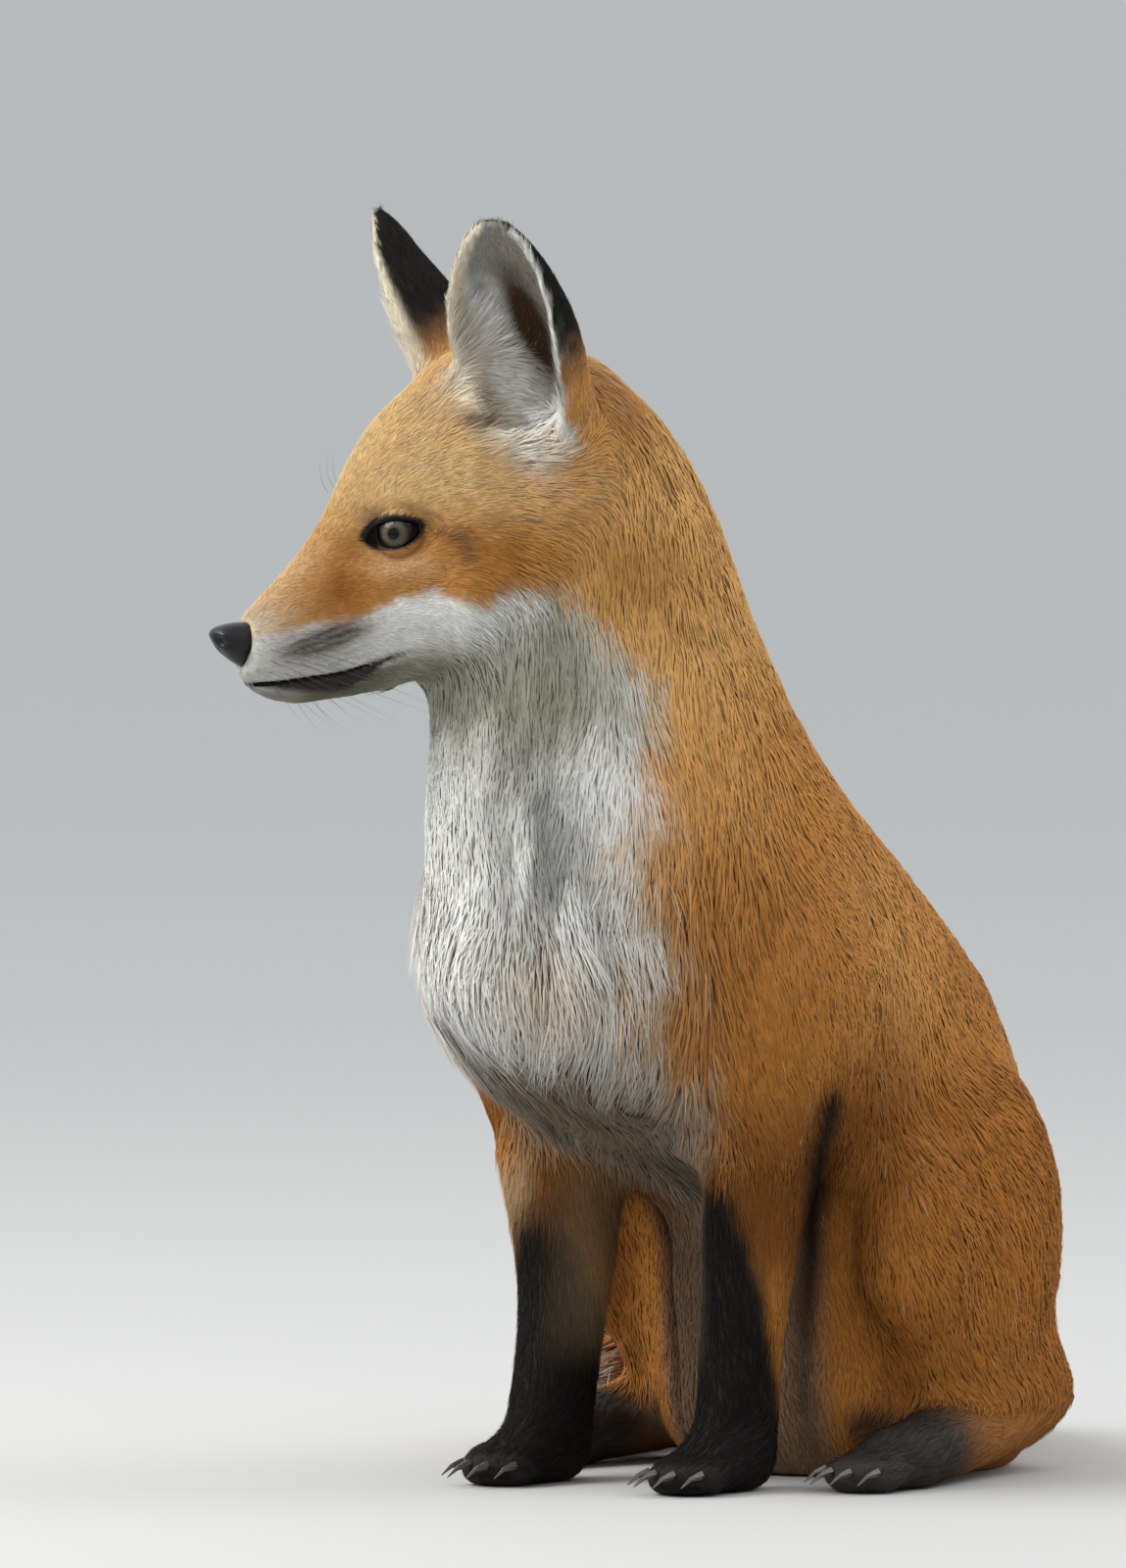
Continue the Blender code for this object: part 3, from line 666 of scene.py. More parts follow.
def groom(points, shares):
    """Every patch's settings at each point, and over them the finer ones of face, ears, throat and legs."""
    patch = by_patch(shares)
    settings = {name: getattr(bpy.context.scene, f"fox_coat_{name}") for name in PATCHES}
    rows = {name: np.array([getattr(own, field) for field in FIELDS]) for name, own in settings.items()}
    behind_chest = patch["chest"] * step(np.abs(around_spine(points)), *CHEST_TO_BACK)
    mixed = shares @ np.stack(list(rows.values())) + behind_chest[:, None] * (rows["back"] - rows["chest"])
    coat = dict(zip(FIELDS, mixed.T))
    forward, left, up = in_head(points)
    z = points[:, 2] / CM
    head, ears, neck = patch["head"], patch["ears"], patch["neck"]

    # The face, in millimetres: shortest round the eyes, longest on the ruff of the cheek.
    cheek = step(-forward, 1.6, 4.6) * step(-up, -1.2, 1.4)
    crown = step(-forward, 2.0, 6.0) * (1 - cheek)
    brow = step(-forward, -1.5, 2.0) * (1 - cheek) * (1 - crown)
    near_eye = np.exp(-(from_eye(points) / (1.5 * CM)) ** 4)
    ruff = cheek * step(-forward, 3.0, 5.5) * step(-up, 1.0, 3.0)
    face = {
        "depth": (0.5 + 0.7 * brow + 3.4 * cheek + 2.6 * crown) * MM * (1 - near_eye),
        "length": (2.6 + 2.2 * brow + 8.5 * cheek + 6.5 * crown + 5.0 * ruff) * (1 - 0.35 * near_eye) * MM,
        "width": (0.34 + 0.20 * cheek + 0.18 * crown + 0.08 * brow) * MM,
    }
    for field, value in face.items():
        coat[field] += head * (value - coat[field]) * step(head, 0.2, 0.8)

    # The ears: long white hair inside each cup's inner rim and lower edge, and a fringe round the pit.
    for sign in SIDES.values():
        height, across, behind, *_ = in_ear(points, sign)
        inside = ears * (np.sign(left) == sign) * step(-behind, -0.05, 0.08)
        long = inside * step(height, 0.66, 0.4) * (0.2 + 0.8 * step(across, -0.25, -0.6))
        coat["length"] += (9.0 * long + 3.5 * inside * step(across, 0.6, 0.9) * step(height, 0.5, 0.2)) * MM
        coat["root_lift"] += 0.35 * long
    fringe = head * step(near_pit((forward, np.abs(left), up)), 3.4, 1.8) * step(-up, -5.5, -4.5)
    coat["length"] += 5 * MM * fringe
    coat["root_lift"] += 0.1 * fringe

    # The throat, the underside, the elbows and the feet.
    throat = neck * spot((forward, up), (-1.0, -7.6), (3.0, 2.0))
    throat = throat + (head + neck) * spot((forward, up), (0.0, -6.3), (1.2, 0.6))
    trunk = patch["chest"] + patch["back"] + patch["shoulders"]
    coat["length"] *= 1 - 0.6 * np.clip(throat, 0, 1)
    coat["length"] *= 1 - 0.5 * trunk * step(z, 16.5, 11.5)
    coat["length"] += 3 * MM * patch["forelegs"] * step(z, 8, 12)
    coat["length"] *= 1 - 0.5 * crease(points)
    coat["root_lift"] *= 1 + 0.4 * head * cheek
    near_floor = np.clip(z / 1.2, 0.12, 1)
    coat["depth"] *= near_floor
    coat["root_lift"] *= near_floor
    return coat


def shape_lids(points):
    """The skin drawn close over each eyeball and in behind its rim, a crease above and a fold round it."""
    points = points.copy()
    for side in SIDES:
        lids = Lids(side)
        along, up, out = lids.local(points)
        share = lids.share(along, up)
        near = (out > -0.9 * CM) & (share < 3.2)
        drawn = out + (lids.lie(along, up, 1.1 * MM) - out) * (1 - step(share, 1.15, 2.3))
        drawn = drawn - 3.0 * MM * (1 - step(share, 0.86, 1.04))
        lid_crease = 0.15 * MM * bell(share - 1.75, 0.22) * step(up, 0, 3 * MM)
        fold = 0.25 * MM * bell(share - 1.38, 0.2)
        drawn = drawn - lid_crease + fold * (share > 1.0)
        points += np.where(near, drawn - out, 0)[:, None] * lids.out
    return points


def shape_face(points, triangles):
    """The forms of the face, in millimetres out of the skin: pads for the whiskers, brows, a groove along the
    lips, a split upper lip, a chin, and hollows before the eyes and under the nose."""
    points = shape_lids(points)
    forward, left, up = in_head(points)
    face = (forward, np.abs(left), up)
    normals, _ = point_normals(points, triangles)
    above_lips = up - lip_height(forward)
    on_lips = step(forward, -0.9, 0.2) * step(np.abs(left), 0.3, 0.7)
    out = (
        1.1 * spot(face, (3.7, 1.6, -4.9), (1.3, 0.9, 0.62))  # whisker pad
        + 0.4 * spot(face, (0.3, 2.5, 1.25), (1.0, 0.9, 0.4))  # brow
        - 1.6 * bell(above_lips, 0.13) * on_lips
        + 0.5 * bell(above_lips + 0.32, 0.2) * on_lips
        - 1.0 * bell(left, 0.09) * step(forward, 4.6, 5.3) * step(-up, 4.6, 5.0)  # split lip
        - 0.6 * spot(face, (1.75, 1.75, -0.9), (0.3, 0.5, 0.8))  # before the eye
        + 1.4 * spot(face, (3.7, 0.4, -6.4), (1.3, 1.1, 0.5))  # chin
        - 1.6 * spot(face, (6.1, 0.0, -5.2), (0.6, 1.2, 0.6))  # under the nose
    )
    return points + (out * MM)[:, None] * normals


def drawn_in(points, triangles, edges, depth, ears):
    """The surface moved in along its normals by the depth, in steps that are smoothed except on the ears."""
    for _ in range(DEPTH_STEPS):
        normals, _ = point_normals(points, triangles)
        points = points - normals * (depth / DEPTH_STEPS)[:, None]
        points = spread(points, edges, 1, 0.2 * (1 - ears))
    return points, normals


def build_skin():
    """The skin's points, triangles, the coat's patches and settings at each point, and its colours."""
    settings = bpy.context.scene.fox_skin
    shells = [node_shell(node, SHELL_GROWTH) for node in FLESH + ["eye_left", "eye_right"]]
    mesh = refined(refined(remeshed(*join_arrays(shells), settings.grain), near_face), near_eyes)
    points, triangles = mesh_arrays(mesh)
    bpy.data.meshes.remove(mesh)
    edges = edges_of(triangles)
    shares = patch_shares(points, edges)
    ears, neck = by_patch(shares)["ears"], by_patch(shares)["neck"]
    points = spread(points, edges, settings.smoothing, 0.5 * (1 - 0.75 * ears))
    points = spread(points, edges, FACE_SMOOTHING, 0.5 * near_face(points) * (1 - ears))
    depth = spread(groom(points, shares)["depth"], edges, DEPTH_SMOOTHING)
    points, normals = drawn_in(points, triangles, edges, depth, ears)
    points = points - normals * (NAPE_DEPTH * (spot(tuple(points.T / CM), *NAPE) * neck))[:, None]
    normals, _ = point_normals(points, triangles)
    points = points - normals * (CREASE_DEPTH * crease(points))[:, None]
    points = shape_face(points, triangles)
    points[:, 2] = np.maximum(points[:, 2], FLOOR_GAP)
    normals, areas = point_normals(points, triangles)
    return {
        "points": points, "triangles": triangles, "normals": normals, "areas": areas, "shares": shares,
        "flow": lie_of_coat(points, normals, shares, edges),
        **groom(points, shares),
        **markings(points, shares),
    }


def lie_of_head(points):
    """The way of the hair on the head: back from the nose, down the cheeks, and apart round the eyes."""
    forward, left, up = in_head(points)
    cheek = (step(-forward, 0.5, 3.5) * step(-up, -1.0, 2.0))[:, None]
    top = (step(up, 2.5, 5.0) * step(-forward, 3.0, 6.0))[:, None]
    muzzle = (step(forward, 1.0, 3.5) * step(-up, 3.2, 4.5))[:, None]
    flow = -AHEAD - 0.55 * cheek * UP + 0.25 * cheek * np.sign(left)[:, None] * LEFT - 0.6 * top * UP
    flow = flow - 0.12 * muzzle * UP
    for side in SIDES:
        lids = Lids(side)
        along, rise, out = lids.local(points)
        round_eye = bell(np.hypot(along, rise), 1.15 * CM) * (out > -0.5 * CM)
        flow = flow + (round_eye * np.clip(rise / (0.35 * CM), -1, 1))[:, None] * lids.up * 1.1
    return flow


def lie_of_ears(points):
    """The way of the hair on the ears: up them, and inside each cup in from both rims."""
    left = in_head(points)[1]
    flow = np.zeros_like(points)
    for sign in SIDES.values():
        height, across, behind, rise, sideways, _ = in_ear(points, sign)
        own = (np.sign(left) == sign)[:, None]
        inside = step(-behind, -0.05, 0.1)[:, None]
        sweep = (0.25 - 0.75 * np.clip(across, -1, 1) * step(height, 0.9, 0.3))[:, None]
        flow += own * (rise * (1 - 0.25 * inside) + inside * sweep * sideways)
    return flow


def lie_of_coat(points, normals, shares, edges):
    """The way that the hair runs at each point, patch by patch, blended, with slow swirls on the body."""
    forward, z = in_head(points)[0], points[:, 2] / CM
    turn = np.radians(around_spine(points))
    paw = step(z, 4.2, 2.4)

    def way(left, back, up):
        return np.stack(np.broadcast_arrays(left, back, up, z)[:3], 1)

    back = way(0.0, 0.42, -1.0)
    chest = way(0.34 * np.sin(turn * 1.6), -0.12, -1.0)
    chest = chest + step(np.abs(np.degrees(turn)), *CHEST_TO_BACK)[:, None] * (back - chest)
    ways = [
        lie_of_head(points),
        lie_of_ears(points),
        way(0.16 * np.sin(turn), 0.10 - 0.20 * np.cos(turn), -1.0),  # neck
        chest,
        back,
        back,  # shoulders
        way(0.0, 0.55, -0.9),  # haunches
        way(0.0, 0.08 - 1.1 * paw, -1.0 + 0.55 * paw),  # forelegs
        way(0.0, -1.0, -0.2),  # hind feet
        along_tail(points)[1],
    ]
    flow = sum(share[:, None] * unit(lie) for share, lie in zip(shares.T, ways))
    swirl = np.stack([waves(points, SWIRL_LENGTH, seed) for seed in (11, 12, 13)], 1)
    patch = by_patch(shares)
    loose = (1 - patch["head"] * step(forward, -4.0, 0.0) - patch["ears"])[:, None]
    flow = spread(flow + SWIRL * swirl * np.clip(loose, 0.1, 1), edges, LIE_SMOOTHING)
    return unit(flattened(flow, normals))


# ---------------------------------------------------------------- markings


HAIR_COLOURS = (
    "rust", "gold", "honey", "tan", "russet", "cream", "white", "grey", "wool", "olive", "brown", "soot",
)

# The white bib in degrees round the spine: its middle, and its half width, at these heights.
BIB_MIDDLE_HEIGHTS = (22, 26, 30, 34)
BIB_MIDDLE = (0, -7, -14, -22)
BIB_HEIGHTS = (8, 11, 13.5, 15, 19, 22.5, 24.6, 27, 30, 31.5, 33, 34.5, 36)
BIB_HALVES = (6, 14, 22, 26, 32, 40, 46, 57, 70, 75, 67, 54, 34)
# The colour of the bib's dark foot: painted shade under the chest.
BIB_FOOT_SHADE = np.array([0.17, 0.14, 0.10])

# The upper edge of the white on the cheek and muzzle: its height at these places forward in the head.
CHEEK_FORWARD = (-8, -6, -4.2, -3.2, -2.3, -1.6, -0.8, 0.3, 1.2, 1.85, 3, 4.1, 4.8, 5.2, 6)
CHEEK_EDGE = (-4.0, -2.2, -1.7, -1.9, -2.7, -2.35, -2.15, -2.55, -3.1, -3.35, -3.45, -3.75, -3.9, -4.0, -4.1)

# The dark band under the lips: how deep it is at these places forward in the head.
BAND_FORWARD = (-0.55, 0.3, 0.75, 1.2, 1.85, 2.7, 3.5, 4.6)
BAND_DEPTH = (0.08, 0.2, 0.5, 0.74, 0.68, 0.54, 0.36, 0.12)


class Hide:
    """The skin's points by every measure that places the markings, and the colours laid on them: tip at the
    hair's ends and root near the skin. Lengths are centimetres, and turn is degrees round the spine."""

    def __init__(self, points, shares):
        self.points = points
        self.x, self.y, self.z = (points / CM).T
        self.body = (np.abs(self.x), self.y, self.z)
        self.turn = around_spine(points)
        self.forward, self.left, self.up = in_head(points)
        self.face = (self.forward, np.abs(self.left), self.up)
        self.along_tail = along_tail(points)[0]
        self.patch = by_patch(shares)
        self.trunk = self.patch["back"] + self.patch["shoulders"] + self.patch["haunches"]
        self.uneven = waves(points, 3.2 * CM, 5)
        self.fine = waves(points, 0.9 * CM, 6)
        settings = bpy.context.scene.fox_colours
        self.dyes = SimpleNamespace(**{name: np.array(getattr(settings, name)) for name in HAIR_COLOURS})
        self.tip = np.tile(self.dyes.rust, (len(points), 1))
        # The roots painted darker than the tips: painted shade deep in the coat.
        self.root = 0.85 * self.tip

    def lay(self, share, colour, near_skin=None):
        """Blend this share of a colour over the hair. The roots take a darker one, or near_skin."""
        share = np.clip(share, 0, 1)[:, None]
        self.tip = self.tip + share * (colour - self.tip)
        self.root = self.root + share * ((0.85 * colour if near_skin is None else near_skin) - self.root)

    def lay_spots(self, places, rows):
        """Lay soft spots one after another: each one's share, centre, radii and colour."""
        for share, centre, radii, colour in rows:
            self.lay(share * spot(places, centre, radii), colour)


def paint_trunk(hide):
    """Rust below and gold above, with a tan back, a red saddle, and gold on the point of the shoulder."""
    lay, dye, turn, z, uneven, trunk = hide.lay, hide.dyes, hide.turn, hide.z, hide.uneven, hide.trunk
    neck, back = hide.patch["neck"], hide.patch["back"]
    # Gold higher up: partly the coat's own colour, partly painted light falling from above.
    lay(0.9 * step(z + 1.2 * uneven, 16, 28), dye.gold)
    lay(0.35 * back * step(z, 10, 18), dye.gold)
    # Tan along the upper back: partly its own colour, partly painted light on the back's upper side.
    lay(0.5 * (neck + trunk) * step(z + 0.8 * uneven, 15, 23) * step(hide.y, -13.5, -9.0), dye.tan)
    hide.lay_spots(hide.body, [(0.75, (7.2, -14.2, 21.5), (3.6, 5.0, 5.0), dye.russet)])
    lay(0.4 * step(turn, 75, 95) * step(z, 36, 32) * step(z, 20, 25), dye.rust)
    lay(0.3 * step(uneven, 0.1, 0.8) * trunk * step(z, 26, 20), dye.russet)
    lay(0.4 * neck * step(z, 28, 33), dye.honey)
    lay(0.75 * neck * spot((turn, z), (70, 35.2), (28, 2.2)), 0.85 * dye.rust)
    lay(0.15 * neck * spot((turn,), (75,), (22,)), dye.honey)
    # Painted light: gold on the point of the shoulder. Painted shade: dark russet at the front of the thigh.
    hide.lay_spots(hide.body, [
        (0.8, (7.6, -9.6, 20.8), (4.0, 4.6, 5.0), dye.gold),
        (0.7, (7.6, -11.2, 15.0), (3.0, 3.2, 3.2), 0.6 * dye.russet),
    ])


def paint_bib(hide):
    """The white bib down the throat and chest: cream at its ragged edge, grey partings and a dark foot."""
    lay, dye, turn, z, patch = hide.lay, hide.dyes, hide.turn, hide.z, hide.patch
    drawn_long = hide.points * (1, 1, 0.4)
    parting = waves(drawn_long, 1.9 * CM, 8) + 0.4 * waves(drawn_long, 0.7 * CM, 18)
    ragged = 4 * waves(drawn_long, 0.45 * CM, 9)
    away = np.abs(turn - np.interp(z, BIB_MIDDLE_HEIGHTS, BIB_MIDDLE))
    away = away + 4 * hide.uneven + 4 * hide.fine + ragged
    half = np.interp(z, BIB_HEIGHTS, BIB_HALVES)
    bib = (1 - step(away, half - 13, half + 10)) * step(z, 7.5, 11.0)
    bib = bib * (1 - patch["forelegs"]) * (1 - patch["haunches"])
    bib = bib * (1 - 0.4 * (patch["back"] + patch["shoulders"]))
    lay(bib * 0.8 * step(away, half - 20, half), dye.cream, dye.wool)
    lay(bib * (1 - step(away, half - 14, half + 3)), dye.white, dye.wool)
    # Painted shade: grey in the partings between the chest's locks.
    partings = 0.85 * bib * step(parting, -0.4, 0.4) * spot((turn, z), (15, 25.0), (15, 6.5))
    lay(partings, 0.85 * dye.grey, 0.6 * dye.grey)
    # The throat greyed: grey undercoat and painted shade.
    throat = 0.85 * bib * spot((turn, z), (14, 28.0), (16, 3.6)) * (0.85 + 0.15 * parting)
    lay(throat, 0.85 * dye.grey, 0.6 * dye.grey)
    # Painted shade: greyer towards the bottom of the bib.
    lay(0.6 * bib * step(z, 19.5, 17.0) * spot((turn,), (18,), (12,)), 1.2 * dye.grey, dye.grey)
    lay(0.5 * bib * step(z, 19.0, 16.5), 1.3 * dye.grey, dye.grey)
    lay(0.5 * bib * spot((turn, z), (14, 20.0), (9, 1.5)), dye.tan, 2 * dye.brown)
    # Painted shade: the bib's dark foot under the chest.
    foot = bib * step(z + 0.5 * hide.uneven + 1.2 * step(turn, 12, 24), 18.2, 16.0)
    lay(foot, BIB_FOOT_SHADE, 2 * dye.brown)
    # Painted shade: olive on the throat under the jaw.
    lay(0.8 * bib * step(z + 0.6 * parting, 27.0, 30.5) * step(turn, 75, 30), 0.85 * dye.olive)
    # The belly between the legs: partly its own brown-grey, partly painted shade under the body.
    belly = step(np.abs(hide.x), 4.4, 3.2) * step(z, 13.0, 10.5) * step(hide.y, -3, -6)
    belly = belly * (1 - patch["forelegs"])
    lay(0.9 * belly * (1 - bib), dye.brown * 2.0 + 0.25 * dye.grey, 1.5 * dye.brown)


def paint_legs(hide):
    """Russet legs with black stockings that climb in front, black hind toes, and dark folds at the elbows."""
    lay, dye, x, y, z = hide.lay, hide.dyes, hide.x, hide.y, hide.z
    fore, hind = hide.patch["forelegs"], hide.patch["hind_feet"]
    leg_turn = np.arctan2(np.abs(x) - 4.5, -(y + 14.2))
    facing = 0.5 + 0.5 * np.cos(leg_turn + 0.15)
    edge = 4.2 + np.where(x > 0, 8.4 * facing**2.6, 6.4 * facing**1.5) + 0.5 * hide.fine
    # Darker russet high on the forelegs and low on the shoulders: partly their own colour, partly painted
    # shade.
    lay(0.85 * (fore + hide.patch["shoulders"] * step(z, 17, 13)) * step(z, 7, 10), 0.52 * dye.russet)
    # Russet haunches: partly their own colour, partly painted shade.
    lay(0.5 * hide.patch["haunches"], dye.russet)
    outer_side = step(leg_turn, -0.3, 0.3) * step(leg_turn, 1.6, 0.7)
    lay(0.65 * fore * (x < 0) * step(z, 8, 12) * outer_side, dye.tan)
    lay(fore * (1 - step(z, edge - 1.6, edge + 1.3)), dye.soot * 0.45)
    lay(0.5 * fore * step(leg_turn, -0.1, -1.3) * step(z, 4, 6.5), 0.5 * dye.tan)
    lay(hind * step(y, -3.5, -8.5) * (1 - step(z, 2.6, 4.2)), dye.soot * 1.6)
    lay(0.5 * hind * step(y, -8.5, -3.5), 0.6 * dye.rust)
    # Painted shade: dark brown in the folds behind the elbows.
    lay(crease(hide.points), 0.15 * dye.brown, 0.1 * dye.brown)


def paint_tail(hide):
    """A darker upper side and a white tip."""
    dye, tail = hide.dyes, hide.patch["tail"]
    hide.lay(0.35 * tail * step(hide.z, 4.2, 6.5), 2 * dye.brown)
    hide.lay(tail * step(hide.along_tail + 0.015 * hide.fine, 0.83, 0.9), dye.white, dye.wool)


def paint_face(hide):
    """The face: honey crown, tan bridge, rust cheeks, dark marks about the eye, white cheek and muzzle, the
    whisker pad's streaks and the dark band under the lips. Gives back where it is white, and where bare."""
    lay, dye, fine, face = hide.lay, hide.dyes, hide.fine, hide.face
    forward, left, up = hide.forward, hide.left, hide.up
    crown = step(up + 0.3 * fine, -0.6, 1.6) * (0.25 + 0.75 * step(forward - 0.5 * up, -6.5, -2.5))
    lay(crown, 0.8 * dye.honey + 0.03 * dye.cream)
    hide.lay_spots(face, [
        (0.75, (3.9, 0.0, -1.6), (2.6, 1.3, 1.6), dye.tan),
        (0.85, (5.1, 0.9, -3.4), (1.5, 1.5, 0.8), 0.75 * dye.cream),
        (0.9, (-2.4, 4.6, -0.9), (2.8, 3.0, 1.4), dye.rust),
        (0.65, (1.8, 1.8, -2.3), (1.5, 1.6, 1.3), dye.rust),
        (0.85, (1.7, 1.9, -2.1), (0.75, 1.6, 0.95), dye.russet),
        (0.5, (-0.2, 2.8, -1.2), (1.2, 2.0, 0.5), dye.tan),
        (0.75, (0.75, 1.9, 0.6), (0.45, 1.5, 0.5), 2 * dye.brown),
        (0.6, (1.5, 1.8, -0.9), (0.35, 1.5, 0.8), dye.russet),
        (0.8, (-1.6, 3.6, -0.1), (0.42, 2.0, 0.3), 1.5 * dye.brown),
        (0.75, (-2.05, 3.8, -0.75), (0.36, 2.0, 0.65), 2 * dye.brown),
    ])
    white_edge = np.interp(forward, CHEEK_FORWARD, CHEEK_EDGE) + 0.14 * fine
    below = 1 - step(up, white_edge - 0.28, white_edge + 0.28)
    lay(below, dye.white, dye.wool)
    lay(below * 0.35 * step(-forward, 3.0, 6.0), dye.cream, dye.wool)
    lay(0.4 * below * step(forward, 0.0, 2.5), dye.grey * 1.5)
    # Painted shade: olive under the jaw.
    lay(0.85 * step(-up + 0.2 * fine, 3.8, 5.0) * step(forward, 0.6, -1.2), dye.olive)
    streaks = 0.5 + 0.5 * np.sin((up + 0.36 * forward) * 2 * math.pi / 0.26 + 1.4 * fine)
    slanted = (forward, np.abs(left), up + 0.3 * (forward - 2.5))
    smudge = np.clip(1.8 * spot(slanted, (2.5, 1.7, -3.95), (1.5, 2.0, 0.42)), 0, 1)
    lay(smudge * (0.6 + 0.4 * streaks), 0.55 * dye.brown)
    lay(0.5 * streaks**2 * spot(face, (1.6, 1.9, -4.4), (2.2, 2.0, 0.6)), dye.olive * 0.8)
    drop = lip_height(forward) - up
    deep = np.interp(forward, BAND_FORWARD, BAND_DEPTH)
    # Painted shade: olive and grey below the lips, under the jaw and the chin.
    lay(0.95 * step(drop, 0.1, 0.4) * step(forward, -1.5, 0.5) * step(-forward, -5.0, -2.5), dye.olive * 0.7)
    lay(0.85 * step(drop, 0.1, 0.4) * step(forward, 2.5, 4.5), dye.grey * 1.25)
    band = step(drop, -0.16, 0.0) * (1 - step(drop, deep - 0.12, deep + 0.12)) * step(forward, -0.9, 0.1)
    lay(band, dye.soot)
    lay(0.9 * step(forward, 4.95, 5.25) * step(up, -4.7, -4.3), dye.soot)
    slanted = (forward - 0.3 * (up - 3.5), np.abs(left), up)
    below_ear = np.clip(1.5 * spot(slanted, (-3.8, 4.4, 3.5), (0.65, 1.5, 1.2)), 0, 1)
    lay(below_ear, dye.white, dye.wool)
    hide.lay_spots(face, [
        (0.45, (-2.4, 2.9, 5.4), (0.7, 1.1, 1.0), dye.cream),
        (0.85, (-5.8, 5.7, 4.9), (0.7, 1.2, 0.8), dye.cream),
    ])
    lay(0.7 * step(near_pit(face), 3.0, 1.5) * step(-up, -5.8, -4.8) * step(forward, -5.4, -4.4), dye.cream)
    for side in SIDES:
        lids = Lids(side)
        along_slit, above, out = lids.local(hide.points)
        wide = 1.04 + 0.1 * step(above, -1 * MM, 1 * MM) + 0.06 * step(along_slit, 6 * MM, 10 * MM)
        lay((1 - step(lids.share(along_slit, above), wide, wide + 0.12)) * (out > -0.2 * CM), dye.soot)
    return below, band


def paint_ears(hide):
    """Gold ears with black backs and white rims, inside white with a grey tip and a dark hollow. Their pits
    in the head are coloured with them."""
    lay, dye, fine = hide.lay, hide.dyes, hide.fine
    head, ears = hide.patch["head"], hide.patch["ears"]
    for sign in SIDES.values():
        height, across, behind, *_ = in_ear(hide.points, sign)
        pit = head * step(near_pit(hide.face), 1.45, 1.15)
        own = np.clip(ears + pit, 0, 1) * (np.sign(hide.left) == sign)
        inner = own * step(-behind, -0.03, 0.06)
        outer = own - inner
        lay(outer, dye.gold)
        lay(outer * step(height, 0.14, 0.40), 2 * dye.brown)
        lay(outer * step(height + 0.05 * fine, 0.34, 0.46), 0.5 * dye.soot)
        lay(outer * step(-across, 0.78, 0.84) * step(height, 0.0, 0.08), dye.cream)
        # Painted light: the inside lighter than the white, in the shaded cup.
        lay(inner, 1.2 * dye.white, dye.white)
        lay(inner * step(height + 0.05 * fine, 0.5, 0.72), 1.4 * dye.grey)
        lay(0.7 * inner * step(across, -0.05, 0.25) * step(height, 0.12, 0.3), 1.2 * dye.grey + dye.brown)
        # The dark hollow: its own dark skin and painted shade.
        hollow = spot((across, height), (-0.02, 0.4), (0.24, 0.32)) * step(height, 0.95, 0.7)
        lay(inner * np.clip(1.5 * hollow, 0, 1), 0.8 * dye.brown)
        lay(own * step(-across, 0.72, 0.84) * step(-behind, -0.2, -0.05) * step(height, -0.1, 0.1), dye.cream)
        lay(own * step(across, 0.8, 0.92) * step(-behind, -0.12, 0.0), 0.95 * dye.white)
    lower_rim = 1.3 * (head + ears) * spot(hide.face, (-2.8, 4.0, 4.1), (0.65, 1.6, 0.36))
    lay(np.clip(lower_rim, 0, 0.9), dye.brown)
    lay(0.8 * (head + ears) * spot(hide.face, (-5.05, 5.5, 5.2), (0.2, 2.0, 0.8)), dye.brown)


def markings(points, shares):
    """The colours at the hair's tips and near its roots, how many hairs have pale or dark tips, and where the
    lips are bare."""
    hide = Hide(points, shares)
    dye, head, neck, trunk = hide.dyes, hide.patch["head"], hide.patch["neck"], hide.trunk
    paint_trunk(hide)
    paint_bib(hide)
    paint_legs(hide)
    paint_tail(hide)
    body_tip, body_root = hide.tip, hide.root
    # The head starts gold, with its roots painted darker as shade deep in the coat.
    hide.tip, hide.root = (np.tile(shade * dye.gold, (len(points), 1)) for shade in (0.78, 0.7))
    below, band = paint_face(hide)
    hide.tip = body_tip + head[:, None] * (hide.tip - body_tip)
    hide.root = body_root + head[:, None] * (hide.root - body_root)
    hide.lay(0.9 * (head + neck) * spot(hide.face, (-7.8, 4.8, 5.4), (1.8, 3.0, 2.2)), 0.85 * dye.rust)
    paint_ears(hide)
    pale_ticks = 0.35 * head * step(hide.up, -0.5, 2.0) * (1 - below)
    pale_ticks = pale_ticks + 0.02 * trunk * (1 - crease(points)) + 0.03 * neck
    dark_ticks = 0.03 * trunk + 0.2 * hide.patch["tail"] * (hide.along_tail < 0.8) + 0.04 * head
    return {
        "tip": hide.tip, "root": hide.root, "pale_ticks": pale_ticks, "dark_ticks": dark_ticks,
        "bare": band * head,
    }


# ---------------------------------------------------------------- the coat


# Odd primes that turn a cell of a lattice and a seed into its own random numbers.
CELL_PRIMES = (73856093, 19349663, 83492791)
SEED_PRIME = 2654435761
SALTS = (374761393, 668265263, 2246822519, 3266489917)


def mixed_number(whole):
    """A number from 0 to 1 that looks random: the bits shifted over each other and multiplied, twice."""
    low_bits = 0xFFFFFFFF
    whole = whole & low_bits
    whole = ((whole ^ (whole >> 15)) * SALTS[2]) & low_bits
    whole = ((whole ^ (whole >> 13)) * SALTS[3]) & low_bits
    return ((whole ^ (whole >> 16)) & 0xFFFFFF) / 0x1000000


